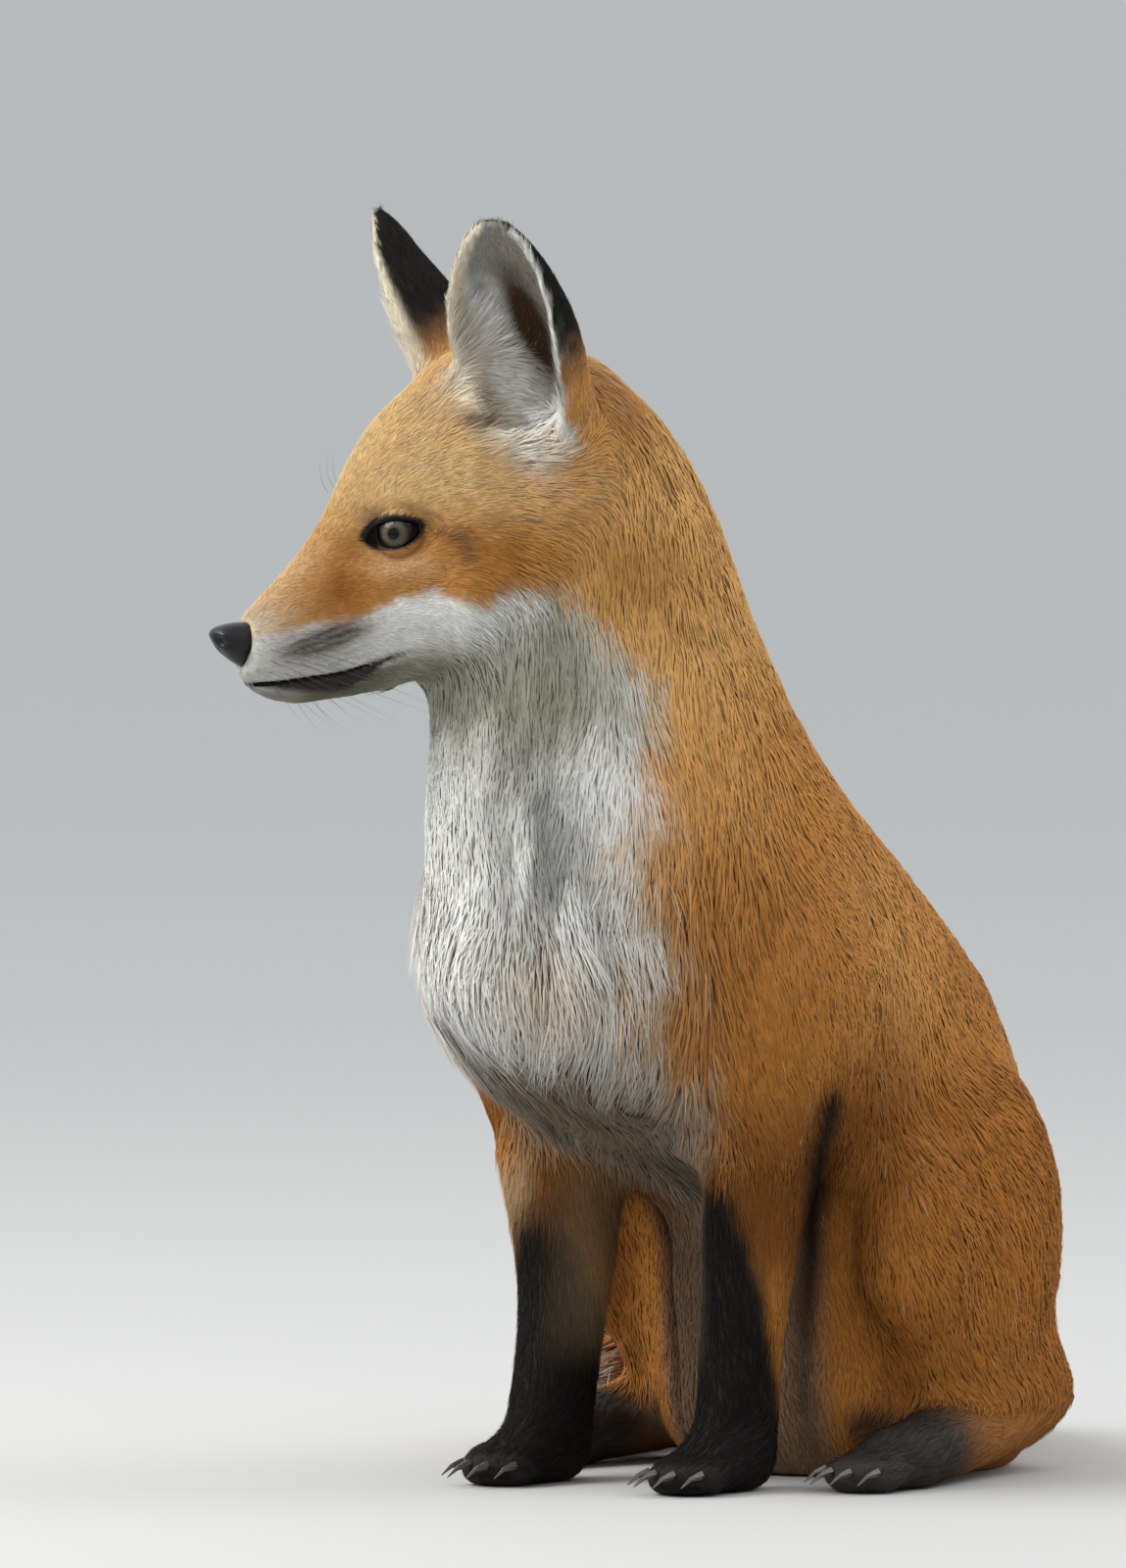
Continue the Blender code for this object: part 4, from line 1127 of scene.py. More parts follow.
def scattered(points, cell, seed):
    """The nearest of the places scattered one to each cell of a lattice, and its own numbers from 0 to 1."""
    cell = np.broadcast_to(cell, len(points))[:, None]
    base = np.floor(points / cell).astype(np.int64)
    best = np.full(len(points), np.inf)
    place, own = np.zeros_like(points), np.zeros_like(points)
    for offset in np.ndindex(3, 3, 3):
        corner = base + np.array(offset) - 1
        mixed = (corner * CELL_PRIMES).sum(1) + seed * SEED_PRIME
        numbers = np.stack([mixed_number(mixed ^ salt) for salt in SALTS], 1)
        found = (corner + numbers[:, :3]) * cell
        gap = ((points - found) ** 2).sum(1)
        closer = gap < best
        best[closer] = gap[closer]
        place[closer] = found[closer]
        own[closer] = numbers[closer][:, [3, 0, 1]]
    return place, own


def roots(skin, weight, count, rng):
    """Places on the skin, as many as asked, more where weight is high: the corners of each one's triangle,
    and its share of each corner."""
    triangles = skin["triangles"]
    wanted = np.cumsum(skin["areas"] * weight[triangles].mean(1))
    draws = (np.arange(count) + rng.random(count)) / count * wanted[-1]
    chosen = np.minimum(np.searchsorted(wanted, draws), len(triangles) - 1)
    a, b = rng.random(count), rng.random(count)
    root = np.sqrt(a)
    shares = np.stack([1 - root, root * (1 - b), root * b], 1)
    return triangles[chosen], shares


def at_roots(field, corners, shares):
    values = field[corners]
    return (values * (shares[..., None] if values.ndim == 3 else shares)).sum(1)


# One tuft is a closed spindle: a point at the root, three points round its bend, and a point at the tip. A
# short one has three points at the root and one at the tip.
TUFT_FACES = np.array([(1, 2, 0), (2, 3, 0), (3, 1, 0), (2, 1, 4), (3, 2, 4), (1, 3, 4)])
SHORT_FACES = np.array([(0, 1, 2), (1, 0, 3), (2, 1, 3), (0, 2, 3)])
SHORT_PATCHES = ("ears", "forelegs", "hind_feet")

# For the UV map: where each pair of limbs has its axis, left and back in centimetres, and where a tuft's
# points lie round the place of its root.
LIMB_AXES = {"haunches": (6.4, -4.0), "forelegs": (4.6, -14.2), "hind_feet": (7.4, -5.5)}
TUFT_PATCH = np.array([(-0.0015, 0.0), (0.0, 0.0015), (0.0004, 0.0), (0.0, -0.0015), (0.0015, 0.0)])


def laid(tree, places, reach):
    """The skin's nearest place to each point and the way out there. A point with none within its reach keeps
    its own place, and its gap is without end."""
    found = [tree.find_nearest(place, far) for place, far in zip(places.tolist(), reach.tolist())]
    near = np.array([at[0] or place for at, place in zip(found, places.tolist())])
    out = np.array([at[1] or UP for at in found])
    gap = np.array([at[3] if at[0] else math.inf for at in found])
    return near, out, gap


# A tuft bends at this share of its length, and the rest lies past the bend.
TO_BEND = 0.42
PAST_BEND = 0.58

# A tuft keeps to the form under it where the skin is nearer than this share of its length, and past the
# second not at all.
FOLLOWS_WITHIN = (0.26, 0.46)

# How far a gathered tuft's bend and tip are drawn to the middle of its lock.
BEND_GATHERS = 0.35
TIP_GATHERS = 0.85

# The hair of the ears looks for its own side of the thin sheet from this share of its length above the skin.
EAR_HAIR_ABOVE = 0.3


def leaning(flow, normal, angle):
    return flow * np.cos(angle)[:, None] + normal * np.sin(angle)[:, None]


def combed(skin, weight, count, seed, rng):
    """The tufts' roots: places on the skin, the way that each tuft runs, its sizes, and its lock's numbers. A
    tuft turns a little with its lock, and is longer or looser with the wider lock round that."""
    corners, shares = roots(skin, weight, count, rng)
    hair = SimpleNamespace(**{
        key: at_roots(skin[key], corners, shares)
        for key in ("points", "normals", "flow", "tip", "root", "pale_ticks", "dark_ticks", *FIELDS)
    })
    place, normal, lock = hair.points, unit(hair.normals), hair.lock
    flow = unit(flattened(hair.flow, normal))
    seeds, own = scattered(place, lock, seed)
    _, wide_own = scattered(place, lock * 3.1, seed + 7)
    turn = (own[:, 0] - 0.5) * 0.4 + (wide_own[:, 0] - 0.5) * 0.4 + rng.normal(0, 0.13, count)
    turn = turn * (0.45 + 0.55 * hair.gather)
    hair.flow = leaning(flow, np.cross(flow, normal), turn)
    hair.across = np.cross(hair.flow, normal)
    hair.place, hair.normal, hair.own, hair.wide_own = place, normal, own, wide_own
    hair.to_lock = flattened(seeds - place, normal)
    hair.length = hair.length * (0.72 + 0.5 * rng.random(count)) * (0.86 + 0.3 * wide_own[:, 1])
    hair.width = hair.width * (0.75 + 0.5 * rng.random(count))
    loose = 1 + 0.5 * (wide_own[:, 2] - 0.5) + 0.3 * (own[:, 1] - 0.5) + rng.normal(0, 0.12, count)
    hair.root_lift = np.clip(hair.root_lift * loose, 0.02, 1.3)
    hair.tip_lift = np.clip(hair.tip_lift * loose, -0.1, 1.0)
    return hair


def bent(hair, tree, name, short):
    """Each tuft's start, bend and tip. It leans out at its root and over at its bend. Where the skin goes on
    under it, both are set over the skin's nearest place, so that the hair follows the form. On the ears that
    place is looked for from above the skin, so that it isn't found on the thin sheet's other side."""
    place, normal, flow, length = hair.place, hair.normal, hair.flow, hair.length
    start = place - normal * (0.5 * hair.width)[:, None]
    bend = start + leaning(flow, normal, hair.root_lift) * (TO_BEND * length)[:, None]
    tip = bend + leaning(flow, normal, hair.tip_lift) * (PAST_BEND * length)[:, None]
    rise = np.sin(hair.root_lift) * TO_BEND * length
    above = normal * ((EAR_HAIR_ABOVE if name == "ears" else 0.0) * length)[:, None]
    reach = 0.4 * length
    half_way, out_bend, gap_bend = laid(tree, place + above + flow * (TO_BEND * length)[:, None], reach)
    onward = unit(flattened(flow, out_bend))
    end, out_tip, gap_tip = laid(tree, half_way + above + onward * (PAST_BEND * length)[:, None], reach)
    gap = np.maximum(gap_bend, gap_tip) / length
    near, far = FOLLOWS_WITHIN
    onward_enough = ((end - place) * flow).sum(1) > 0.45 * length
    follows = (step(gap, far, near) * (onward_enough | short))[:, None]
    bend = bend + follows * (half_way + out_bend * rise[:, None] - bend)
    tip = tip + follows * (end + out_tip * (rise + np.sin(hair.tip_lift) * PAST_BEND * length)[:, None] - tip)
    if name == "tail":
        before_tip = step(along_tail(place)[0], 0.82, 0.74)[:, None]
        tip = tip + 0.8 * (1 - follows) * before_tip * (bend - tip)
    hair.out_bend = unit(normal + follows * (out_bend - normal))
    hair.out_tip = unit(normal + follows * (out_tip - normal))
    bend = bend + hair.to_lock * (BEND_GATHERS * hair.gather)[:, None]
    tip = tip + hair.to_lock * (TIP_GATHERS * hair.gather)[:, None]
    return start, bend, tip


def dyed(hair, rng):
    """The colours of each tuft's root, upper part and end: those of its place, a little lighter or darker
    with its lock, and here and there with a pale or a dark end."""
    count = len(hair.place)
    tint = 1 + 0.1 * (hair.own[:, 2] - 0.5) + 0.14 * (hair.wide_own[:, 1] - 0.5) + rng.normal(0, 0.05, count)
    tip, root = hair.tip * tint[:, None], hair.root * tint[:, None]
    draw = rng.random(count)
    pale, dark = draw < hair.pale_ticks, draw > 1 - hair.dark_ticks
    ends = np.where(pale[:, None], 0.5 * tip + 0.5 * np.array(bpy.context.scene.fox_colours.cream), tip)
    return root, tip, np.where(dark[:, None], 0.5 * tip, ends)


def tufts(skin, name, weight, count, seed, droop=0.0, short=False):
    """Closed spindles rooted on the skin. Each leans out at its root, bends over at its middle to follow the
    lie of the coat and the form under it, and its tip is drawn towards its lock. Short ones are straight and
    have no bend."""
    rng = np.random.default_rng(seed)
    hair = combed(skin, weight, count, seed, rng)
    start, bend, tip = bent(hair, skin["tree"], name, short)
    tip[:, 2] -= droop * hair.length
    root_colour, tip_colour, ends = dyed(hair, rng)
    place, normal, across = hair.place, hair.normal, hair.across
    side = across * (0.5 * hair.width)[:, None]
    tip_normal = hair.out_tip + 0.1 * hair.flow
    if short:
        pattern = SHORT_FACES
        points = [place + side, place + normal * (0.3 * hair.width)[:, None], place - side, tip]
        smooth = [normal + 0.25 * across, normal, normal - 0.25 * across, tip_normal]
        middle_colour = 0.4 * root_colour + 0.6 * tip_colour
        colours = [middle_colour, middle_colour, middle_colour, ends]
    else:
        pattern = TUFT_FACES
        out = hair.out_bend
        points = [start, bend + side, bend + out * (0.18 * hair.width)[:, None], bend - side, tip]
        smooth = [normal, out + 0.25 * across, out, out - 0.25 * across, tip_normal]
        middle_colour = 0.2 * root_colour + 0.8 * tip_colour
        colours = [root_colour, middle_colour, middle_colour, middle_colour, ends]
    points, smooth, colours = np.stack(points, 1), np.stack(smooth, 1), np.stack(colours, 1)
    points[..., 2] = np.maximum(points[..., 2], FLOOR_GAP + 0.2 * MM * rng.random((count, 1)))
    faces = (pattern[None] + points.shape[1] * np.arange(count)[:, None, None]).reshape(-1, 3)
    uv = (unwrapped(place, name)[:, None, None] + TUFT_PATCH[pattern][None]).reshape(-1, 2)
    made = new_object(
        f"coat_{name}", points.reshape(-1, 3), faces, bpy.data.materials["fox_hair"],
        np.clip(colours.reshape(-1, 3), 0, 1), uv, unit(smooth.reshape(-1, 3)),
    )
    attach(made, "root")
    return made


def unwrapped(points, name):
    """Each place on the patch laid flat: round the patch's own axis is U, and along it is V. Left and right
    limbs have half of the width each."""
    x, y, z = (points / CM).T
    forward, left, up = in_head(points)
    if name.startswith("head"):
        u, v = np.arctan2(left, -(up + 1.0)) / (2 * math.pi) + 0.5, (forward + 10) / 17
    elif name == "ears":
        sides = zip(in_ear(points, SIDES["left"])[:3], in_ear(points, SIDES["right"])[:3])
        height, across, behind = (np.where(left > 0, *both) for both in sides)
        u = 0.25 + 0.11 * across + np.where(behind > 0, 0.25, 0.0) - 0.125
        u, v = np.where(left > 0, u, u + 0.5), (height + 0.3) / 1.4
    elif name == "tail":
        along, flow = along_tail(points)
        sideways = np.cross(flow, UP)
        middle = [np.interp(along, np.linspace(0, 1, len(TAIL_LINE)), column) for column in TAIL_LINE.T]
        off = (x - middle[0]) * sideways[:, 0] + (y - middle[1]) * sideways[:, 1]
        u, v = np.arctan2(off, z - 3.2) / (2 * math.pi) + 0.5, along
    elif name in LIMB_AXES:
        left_out, back = LIMB_AXES[name]
        angle = np.arctan2(np.abs(x) - left_out, back - y) / (2 * math.pi) + 0.5
        u, v = np.where(x > 0, 0.5 * angle, 0.5 + 0.5 * angle), z / 17
    else:
        u, v = around_spine(points) / 360 + 0.5, z / 44
    return np.stack([np.clip(0.01 + 0.98 * way, 0.005, 0.995) for way in (u, v)], 1)


# ---------------------------------------------------------------- eyes, nose, lips, whiskers


EYE_RINGS = 40
EYE_COLUMNS = 48
CORNEA_BULGE = 0.45 * MM
CORNEA_ANGLE = 0.6

# How clear of the eyeball the lids' dark edge lies, and its thickness across and out, as shares of its own.
RIM_CLEAR = 0.55 * MM
RIM_ACROSS = 1.35
RIM_OUT = 0.75
RIM_TURNS = 96
RIM_SIDES = 10

NOSE_RINGS = 72
NOSE_COLUMNS = 96
NOSE_POWER = 0.86  # below 1 the ball is squared off
NOSE_POLE = 0.02  # radians from each pole to the first and last ring

# Whiskers, in centimetres in the head: the foremost root of the pad's rows, and the chin's and brow's roots.
PAD_ROOT = (4.5, -4.25)
PAD_ROW_COUNTS = (4, 5, 4)
CHIN_ROOTS = ((3.1, 0.75, -6.1), (2.6, 0.75, -6.2), (2.0, 0.75, -6.0))
BROW_ROOTS = ((0.7, 2.35, 1.35), (0.35, 2.6, 1.5), (0.0, 2.8, 1.45))


def eyeball(side):
    """A ball turned to its gaze: circles at each angle from the gaze, with the cornea's bulge added in front.
    U runs round the gaze and V is the angle from it over a half turn."""
    sizes = bpy.context.scene.fox_head
    gaze = math.cos(sizes.gaze_outward) * AHEAD + math.sin(sizes.gaze_outward) * SIDES[side] * LEFT
    sideways = np.cross(UP, gaze)
    angle = np.linspace(0, math.pi, EYE_RINGS)[:, None, None]
    turn = np.linspace(0, 2 * math.pi, EYE_COLUMNS, endpoint=False)[None, :, None]
    radius = sizes.eye_radius + CORNEA_BULGE * np.exp(-((angle / CORNEA_ANGLE) ** 4))
    ball = radius * (np.cos(angle) * gaze + np.sin(angle) * (np.cos(turn) * sideways + np.sin(turn) * UP))
    points = EYE_PLACES[side] + np.vstack([ball[1:-1].reshape(-1, 3), ball[[0, -1], 0]])
    faces = closed_grid(EYE_RINGS - 2, EYE_COLUMNS)[:, ::-1]
    round_gaze = np.append(np.tile(np.arange(EYE_COLUMNS), EYE_RINGS - 2), [0, 0])[faces] / EYE_COLUMNS
    over_seam = (round_gaze.max(1) - round_gaze.min(1) > 0.5)[:, None] & (round_gaze < 0.5)
    level = np.repeat(np.arange(1, EYE_RINGS - 1) / (EYE_RINGS - 1), EYE_COLUMNS)
    uv = np.stack([round_gaze + over_seam, np.append(level, [0, 1])[faces]], -1)
    made = new_object(f"eye_{side}_globe", points, faces, bpy.data.materials["fox_eye"])
    made.data.uv_layers.new(name="UVMap").uv.foreach_set("vector", uv.astype(np.float32).ravel())
    return made


def lid_rim(side):
    """The dark edge of both lids: a flattened tube along the almond, lying on the eyeball and, past it,
    running out over the skin at both corners. It is thickest above."""
    lids = Lids(side)
    turn = np.linspace(0, 2 * math.pi, RIM_TURNS, endpoint=False)
    along, up = lids.almond(turn)
    path = lids.place(along, up, lids.lie(along, up, RIM_CLEAR))
    way = unit(np.roll(path, -1, 0) - np.roll(path, 1, 0))
    behind = lids.place(0.3 * along, 0 * up, 0 * up - 0.2 * CM)
    outward = unit(path - behind)[:, None]
    across = unit(np.cross(way, outward[:, 0]))[:, None]
    thick = (0.15 + 0.7 * np.clip(np.sin(turn), 0, 1) + 0.3 * step(np.abs(np.cos(turn)), 0.7, 1.0)) * MM
    ring = np.linspace(0, 2 * math.pi, RIM_SIDES, endpoint=False)[:, None]
    section = RIM_ACROSS * np.cos(ring) * across + RIM_OUT * np.sin(ring) * outward
    points = path[:, None] + thick[:, None, None] * section
    return points.reshape(-1, 3), closed_grid(RIM_TURNS, RIM_SIDES, closed_rows=True)


def outward_faces(points, faces):
    """The faces turned so that the closed surface that they make holds a volume above zero."""
    a, b, c = (points[faces[:, i]] - points.mean(0) for i in range(3))
    return faces if (a * np.cross(b, c)).sum() > 0 else faces[:, ::-1]


def nose_leather():
    """A ball on a grid of angles, squared off, narrowed and drawn back below, flattened above, with a
    comma-shaped nostril pressed into each side and a groove down the middle."""
    angle = np.linspace(NOSE_POLE, math.pi - NOSE_POLE, NOSE_RINGS)[:, None]
    turn = np.linspace(0, 2 * math.pi, NOSE_COLUMNS, endpoint=False)[None]
    ball = (np.cos(angle) + 0 * turn, np.sin(angle) * np.cos(turn), np.sin(angle) * np.sin(turn))
    ahead, side, high = (np.sign(v) * np.abs(v) ** NOSE_POWER for v in ball)
    low, tall = np.clip(-high, 0, 1), np.clip(high, 0, 1)
    forward = 5.35 + 0.92 * ahead - 0.62 * low**1.4 - 0.3 * tall**3
    left = 0.86 * side * (1 - 0.55 * low) * (1 - 0.12 * np.clip(-ahead, 0, 1))
    up = -4.12 + 0.8 * tall - 0.92 * low + 0.3 * np.clip(ahead, 0, 1) ** 2 * (1 - 0.7 * tall)
    nose = (forward, np.abs(left), up)
    hole = spot(nose, (6.0, 0.42, -3.98), (0.35, 0.17, 0.17))
    slit = spot(nose, (5.7, 0.78, -4.14), (0.36, 0.22, 0.09))
    wing = spot(nose, (5.93, 0.62, -3.78), (0.4, 0.25, 0.14))
    groove = bell(left, 0.06) * step(forward, 5.6, 6.0) * step(-up, 4.0, 4.4)
    inward = 0.3 * hole + 0.16 * slit + 0.07 * groove - 0.06 * wing
    forward = forward - 0.85 * inward * np.clip(ahead + 0.3, 0.2, 1)
    left = left - 0.75 * inward * np.sign(side) * np.abs(side)
    poles = head_place(forward[[0, -1]].mean(1), np.zeros(2), up[[0, -1]].mean(1))
    points = np.vstack([head_place(forward, left, up).reshape(-1, 3), poles])
    return points, outward_faces(points, closed_grid(NOSE_RINGS, NOSE_COLUMNS))


def skin_side(tree, forward, up, sign):
    """How far out the skin lies, in centimetres, at a place on one side of the head."""
    reach = 9.0
    outside = []
    for f, u in zip(forward, up):
        start = head_place(f, reach * sign, u)
        hit, _, _, distance = tree.ray_cast(Vector(start), Vector(-sign * LEFT), reach * CM)
        outside.append(sign * (reach - distance / CM) if hit else 0.0)
    return np.array(outside)


def lip_line(skin, sign):
    """One side's dark lip: a tapering tube along the groove between the jaws, sunk to half of its height."""
    share = np.linspace(0, 1, 40)
    forward, up = (np.interp(share, np.linspace(0, 1, len(LIPS)), column) for column in LIPS.T)
    out = skin_side(skin["tree"], forward, up, sign)
    shown = np.abs(out) > 0.05
    forward, up, out, share = forward[shown], up[shown], out[shown], share[shown]
    radius = (1.2 - 0.6 * np.abs(share - 0.4)) * np.minimum(1, 3 * (1 - share) + 0.2) * MM
    return tube(head_place(forward, out - 0.03 * sign, up), radius, sides=8)


def whisker(root, way, length, thick, bend):
    """A thin hair: a circle carried along a path that bends back and down, narrowing to its tip."""
    share = np.linspace(0, 1, 12)
    path = root + length * (share[:, None] * way + (share**2)[:, None] * bend)
    return tube(path, thick * (1 - 0.9 * share), sides=5)


def whiskers(skin):
    """The whiskers of both sides: three rows on the pad, and three hairs each on the chin and the brow."""
    rng = np.random.default_rng(41)
    made = []
    for sign in SIDES.values():
        side = sign * LEFT
        places = [
            (PAD_ROOT[0] - 0.55 * back, PAD_ROOT[1] - 0.42 * row - 0.05 * back)
            for row, count in enumerate(PAD_ROW_COUNTS) for back in range(count)
        ]
        forward, up = np.array(places).T
        bend = -0.25 * AHEAD - 0.15 * UP
        for f, u, out in zip(forward, up, skin_side(skin["tree"], forward, up, sign)):
            sideways = 0.9 * side * rng.uniform(0.8, 1.1)
            way = unit(sideways - (0.62 + 0.1 * (PAD_ROOT[0] - f)) * AHEAD + rng.uniform(-0.45, -0.15) * UP)
            length = rng.uniform(26, 44) * MM
            made.append(whisker(head_place(f, out - 0.05 * sign, u), way, length, 0.1 * MM, bend))
        for places, way, lengths, thick, bend in (
            (CHIN_ROOTS, 0.5 * side - 0.5 * AHEAD - 0.7 * UP, (14, 22), 0.08, 0.2),
            (BROW_ROOTS, 0.55 * side + 0.35 * AHEAD + 0.8 * UP, (15, 24), 0.07, 0.5),
        ):
            for f, out, u in places:
                root, length = head_place(f, out * sign, u), rng.uniform(*lengths) * MM
                made.append(whisker(root, unit(way), length, thick * MM, -bend * AHEAD))
    return join_arrays(made)


# ---------------------------------------------------------------- settings


def size(name, description, default):
    return FloatProperty(name=name, description=description, default=default, min=0.0, unit="LENGTH")


def angle(name, description, degrees):
    return FloatProperty(name=name, description=description, default=math.radians(degrees), subtype="ANGLE")


def colour(name, description, default):
    return FloatVectorProperty(
        name=name, description=description, default=default, min=0, max=1, subtype="COLOR")


def coat_settings(label, count, deep, long, wide, root_lean, tip_lean, apart, drawn):
    """The settings of one patch of the coat, with its own defaults: millimetres and degrees here."""

    class Patch(bpy.types.PropertyGroup):
        __doc__ = f"The coat on the {label}"
        tufts: IntProperty(name="Tufts", description=f"Tufts on the {label}", default=count, min=1, max=40000)
        depth: size("Depth", f"How far the skin lies inside the {label}'s outline", deep * MM)
        length: size("Length", f"Length of the hair on the {label}", long * MM)
        width: size("Width", f"Width of a tuft on the {label}", wide * MM)
        root_lift: angle("Lean at the root", f"Angle from the skin at the root on the {label}", root_lean)
        tip_lift: angle("Lean at the tip", f"Angle from the skin past the bend on the {label}", tip_lean)
        lock: size("Lock", f"Distance between locks on the {label}", apart * MM)
        gather: FloatProperty(
            name="Gather", description=f"How far the tips on the {label} draw together",
            default=drawn, min=0, max=1)

    Patch.__name__ = f"FoxCoat{label.title().replace('_', '')}"
    return Patch


# Tufts; depth, length and width in millimetres; lean at root and tip in degrees; lock in millimetres; gather.
COATS = {
    "head": coat_settings("head", 33000, 1.5, 5.0, 0.42, 20, 4, 2.2, 0.25),
    "ears": coat_settings("ears", 32000, 0.6, 3.6, 0.36, 16, 6, 2.0, 0.2),
    "neck": coat_settings("neck", 33000, 4.4, 18.0, 0.8, 11, -2, 4.0, 0.2),
    "chest": coat_settings("chest", 31000, 6.3, 22.0, 0.74, 24, 7, 8.0, 0.5),
    "back": coat_settings("back", 30000, 3.2, 14.0, 0.88, 10, -3, 4.0, 0.12),
    "shoulders": coat_settings("shoulders", 23000, 3.2, 14.0, 0.80, 12, -3, 4.0, 0.15),
    "haunches": coat_settings("haunches", 20000, 2.8, 13.0, 0.80, 12, -2, 4.0, 0.15),
    "forelegs": coat_settings("forelegs", 19000, 1.9, 7.0, 0.48, 14, 4, 2.4, 0.2),
    "hind_feet": coat_settings("hind_feet", 6000, 1.6, 6.0, 0.5, 14, 4, 3.0, 0.2),
    "tail": coat_settings("tail", 14500, 11.0, 30.0, 1.0, 26, 9, 5.0, 0.35),
}


class FoxSkin(bpy.types.PropertyGroup):
    """The skin under the coat"""

    grain: size("Grain", "Size of the skin's faces", 0.0026)
    smoothing: IntProperty(
        name="Smoothing", description="How many times the joined body is smoothed", default=6, min=0)


class FoxHead(bpy.types.PropertyGroup):
    """Sizes of the eyes and lids"""

    eye_radius: size("Eye radius", "Radius of the eyeball", 0.0085)
    iris_radius: size("Iris radius", "Radius of the iris", 0.0054)
    pupil_radius: size("Pupil radius", "Radius of the pupil", 0.0021)
    gaze_outward: angle("Gaze", "How far each eye looks outward from straight ahead", 54)
    lids_outward: angle("Lids outward", "How far each eye's opening faces outward from straight ahead", 58)
    lids_slant: angle("Lids slant", "How much lower the inner corner lies than the outer", 13)
    slit_inward: size("Slit inward", "From the eye's middle to the corner near the nose", 0.0128)
    slit_outward: size("Slit outward", "From the eye's middle to the outer corner", 0.0092)
    lid_above: size("Lid above", "From the eye's middle up to the upper lid", 0.0058)
    peak_inward: size("Peak inward", "How far towards the nose the upper lid is highest", 0.0016)
    lid_below: size("Lid below", "From the eye's middle down to the lower lid", 0.0054)


class FoxColours(bpy.types.PropertyGroup):
    """Colours of the coat and of the bare parts"""

    rust: colour("Rust", "Flanks and back", (0.40, 0.155, 0.03))
    gold: colour("Gold", "Neck and shoulders", (0.58, 0.27, 0.075))
    honey: colour("Honey", "Forehead and crown", (0.66, 0.41, 0.155))
    tan: colour("Tan", "Bridge of the nose", (0.62, 0.43, 0.24))
    russet: colour("Russet", "Shoulders and the mark before the eye", (0.30, 0.105, 0.02))
    cream: colour("Cream", "Edges of the bib and the ears", (0.70, 0.62, 0.47))
    white: colour("White", "Chest, cheeks and tail tip", (0.80, 0.79, 0.75))
    # Grey also paints shade: in the chest's partings, on the throat and towards the bottom of the bib.
    grey: colour("Grey", "Dark partings of the chest and insides of the ears", (0.20, 0.195, 0.175))
    wool: colour("Wool", "Roots of the white hair", (0.42, 0.41, 0.38))
    olive: colour("Olive", "Shade of the throat and jaw", (0.20, 0.19, 0.12))
    # Brown also paints shade: in the folds behind the elbows, at the bib's foot, under the body and in the
    # ears' hollows.
    brown: colour("Brown", "Dark marks of the face and ears", (0.075, 0.04, 0.02))
    soot: colour("Soot", "Stockings, backs of the ears and lips", (0.018, 0.015, 0.013))
    wet_black: colour("Wet black", "Nose, lips and lids", (0.012, 0.011, 0.012))
    horn: colour("Horn", "Claws", (0.06, 0.05, 0.042))
    whisker: colour("Whisker", "Whiskers", (0.02, 0.018, 0.016))
    iris_light: colour("Iris light", "Middle of the iris", (0.085, 0.07, 0.043))
    iris_dark: colour("Iris dark", "Rim of the iris", (0.038, 0.031, 0.02))


class FoxStage(bpy.types.PropertyGroup):
    """The floor, the lights and the camera"""

    azimuth: angle("Azimuth", "Where the camera stands round the fox, from straight in front", 40)
    elevation: angle("Elevation", "How far the camera stands above the level of its target", 3)
    distance: size("Distance", "From the target to the camera", 9.0)
    view_height: size("View height", "Height of what the camera sees at the target", 0.5926)
    target_right: FloatProperty(
        name="Target right", description="The target's place to the camera's right of the origin",
        default=-0.12685, unit="LENGTH")
    target_up: size("Target up", "The target's place above the origin, as the camera sees it", 0.25556)
    floor: colour("Floor", "The floor", (0.48, 0.48, 0.47))
    sky: colour("Sky", "The light from all round", (0.86, 0.89, 0.92))
    sky_strength: FloatProperty(
        name="Sky strength", description="Strength of that light", default=1.05, min=0)
    key_power: FloatProperty(
        name="Key power", description="Power of the soft main light", default=52.0, min=0, unit="POWER")
    fill_power: FloatProperty(
        name="Fill power", description="Power of the light from the other side",
        default=16.0, min=0, unit="POWER")


# ---------------------------------------------------------------- operators

BUILT = {}


# The floor's rings, in metres from the middle, and the points of each.
FLOOR_RADII = (0.5, 2.0, 8.0, 40.0)
FLOOR_COLUMNS = 96

# The soft lights: to the camera's right of the animal, up and towards the camera in metres, width, and tint.
LIGHTS = {
    "key": (-1.6, 1.5, 0.35, 1.4, (1.0, 0.99, 0.96)),
    "fill": (1.7, 1.6, -0.1, 1.6, (1.0, 0.98, 0.95)),
}
LIT_PLACE = Vector((0, -0.1, 0.3))
SENSOR_WIDTH = 36.0


def floor_disc():
    """A flat disc: circles of growing radii about a middle point."""
    turn = np.linspace(0, 2 * math.pi, FLOOR_COLUMNS, endpoint=False)
    circle = np.stack([np.cos(turn), np.sin(turn), 0 * turn], -1)
    rings = np.array(FLOOR_RADII)[:, None, None] * circle
    points = np.vstack([rings.reshape(-1, 3), [[0, 0, 0]]])
    return points, closed_grid(len(FLOOR_RADII), FLOOR_COLUMNS)[:-FLOOR_COLUMNS, ::-1]


def soft_light(name, power, back, right):
    """A square light that faces the animal."""
    across, high, near, wide, tint = LIGHTS[name]
    data = bpy.data.lights.new(name, "AREA")
    data.energy, data.size, data.color = power, wide, tint
    lamp = bpy.data.objects.new(name, data)
    lamp.location = LIT_PLACE + right * across + Vector((0, 0, high)) + back * near
    lamp.rotation_mode = "QUATERNION"
    lamp.rotation_quaternion = (lamp.location - LIT_PLACE).to_track_quat("Z", "Y")
    bpy.context.scene.collection.objects.link(lamp)


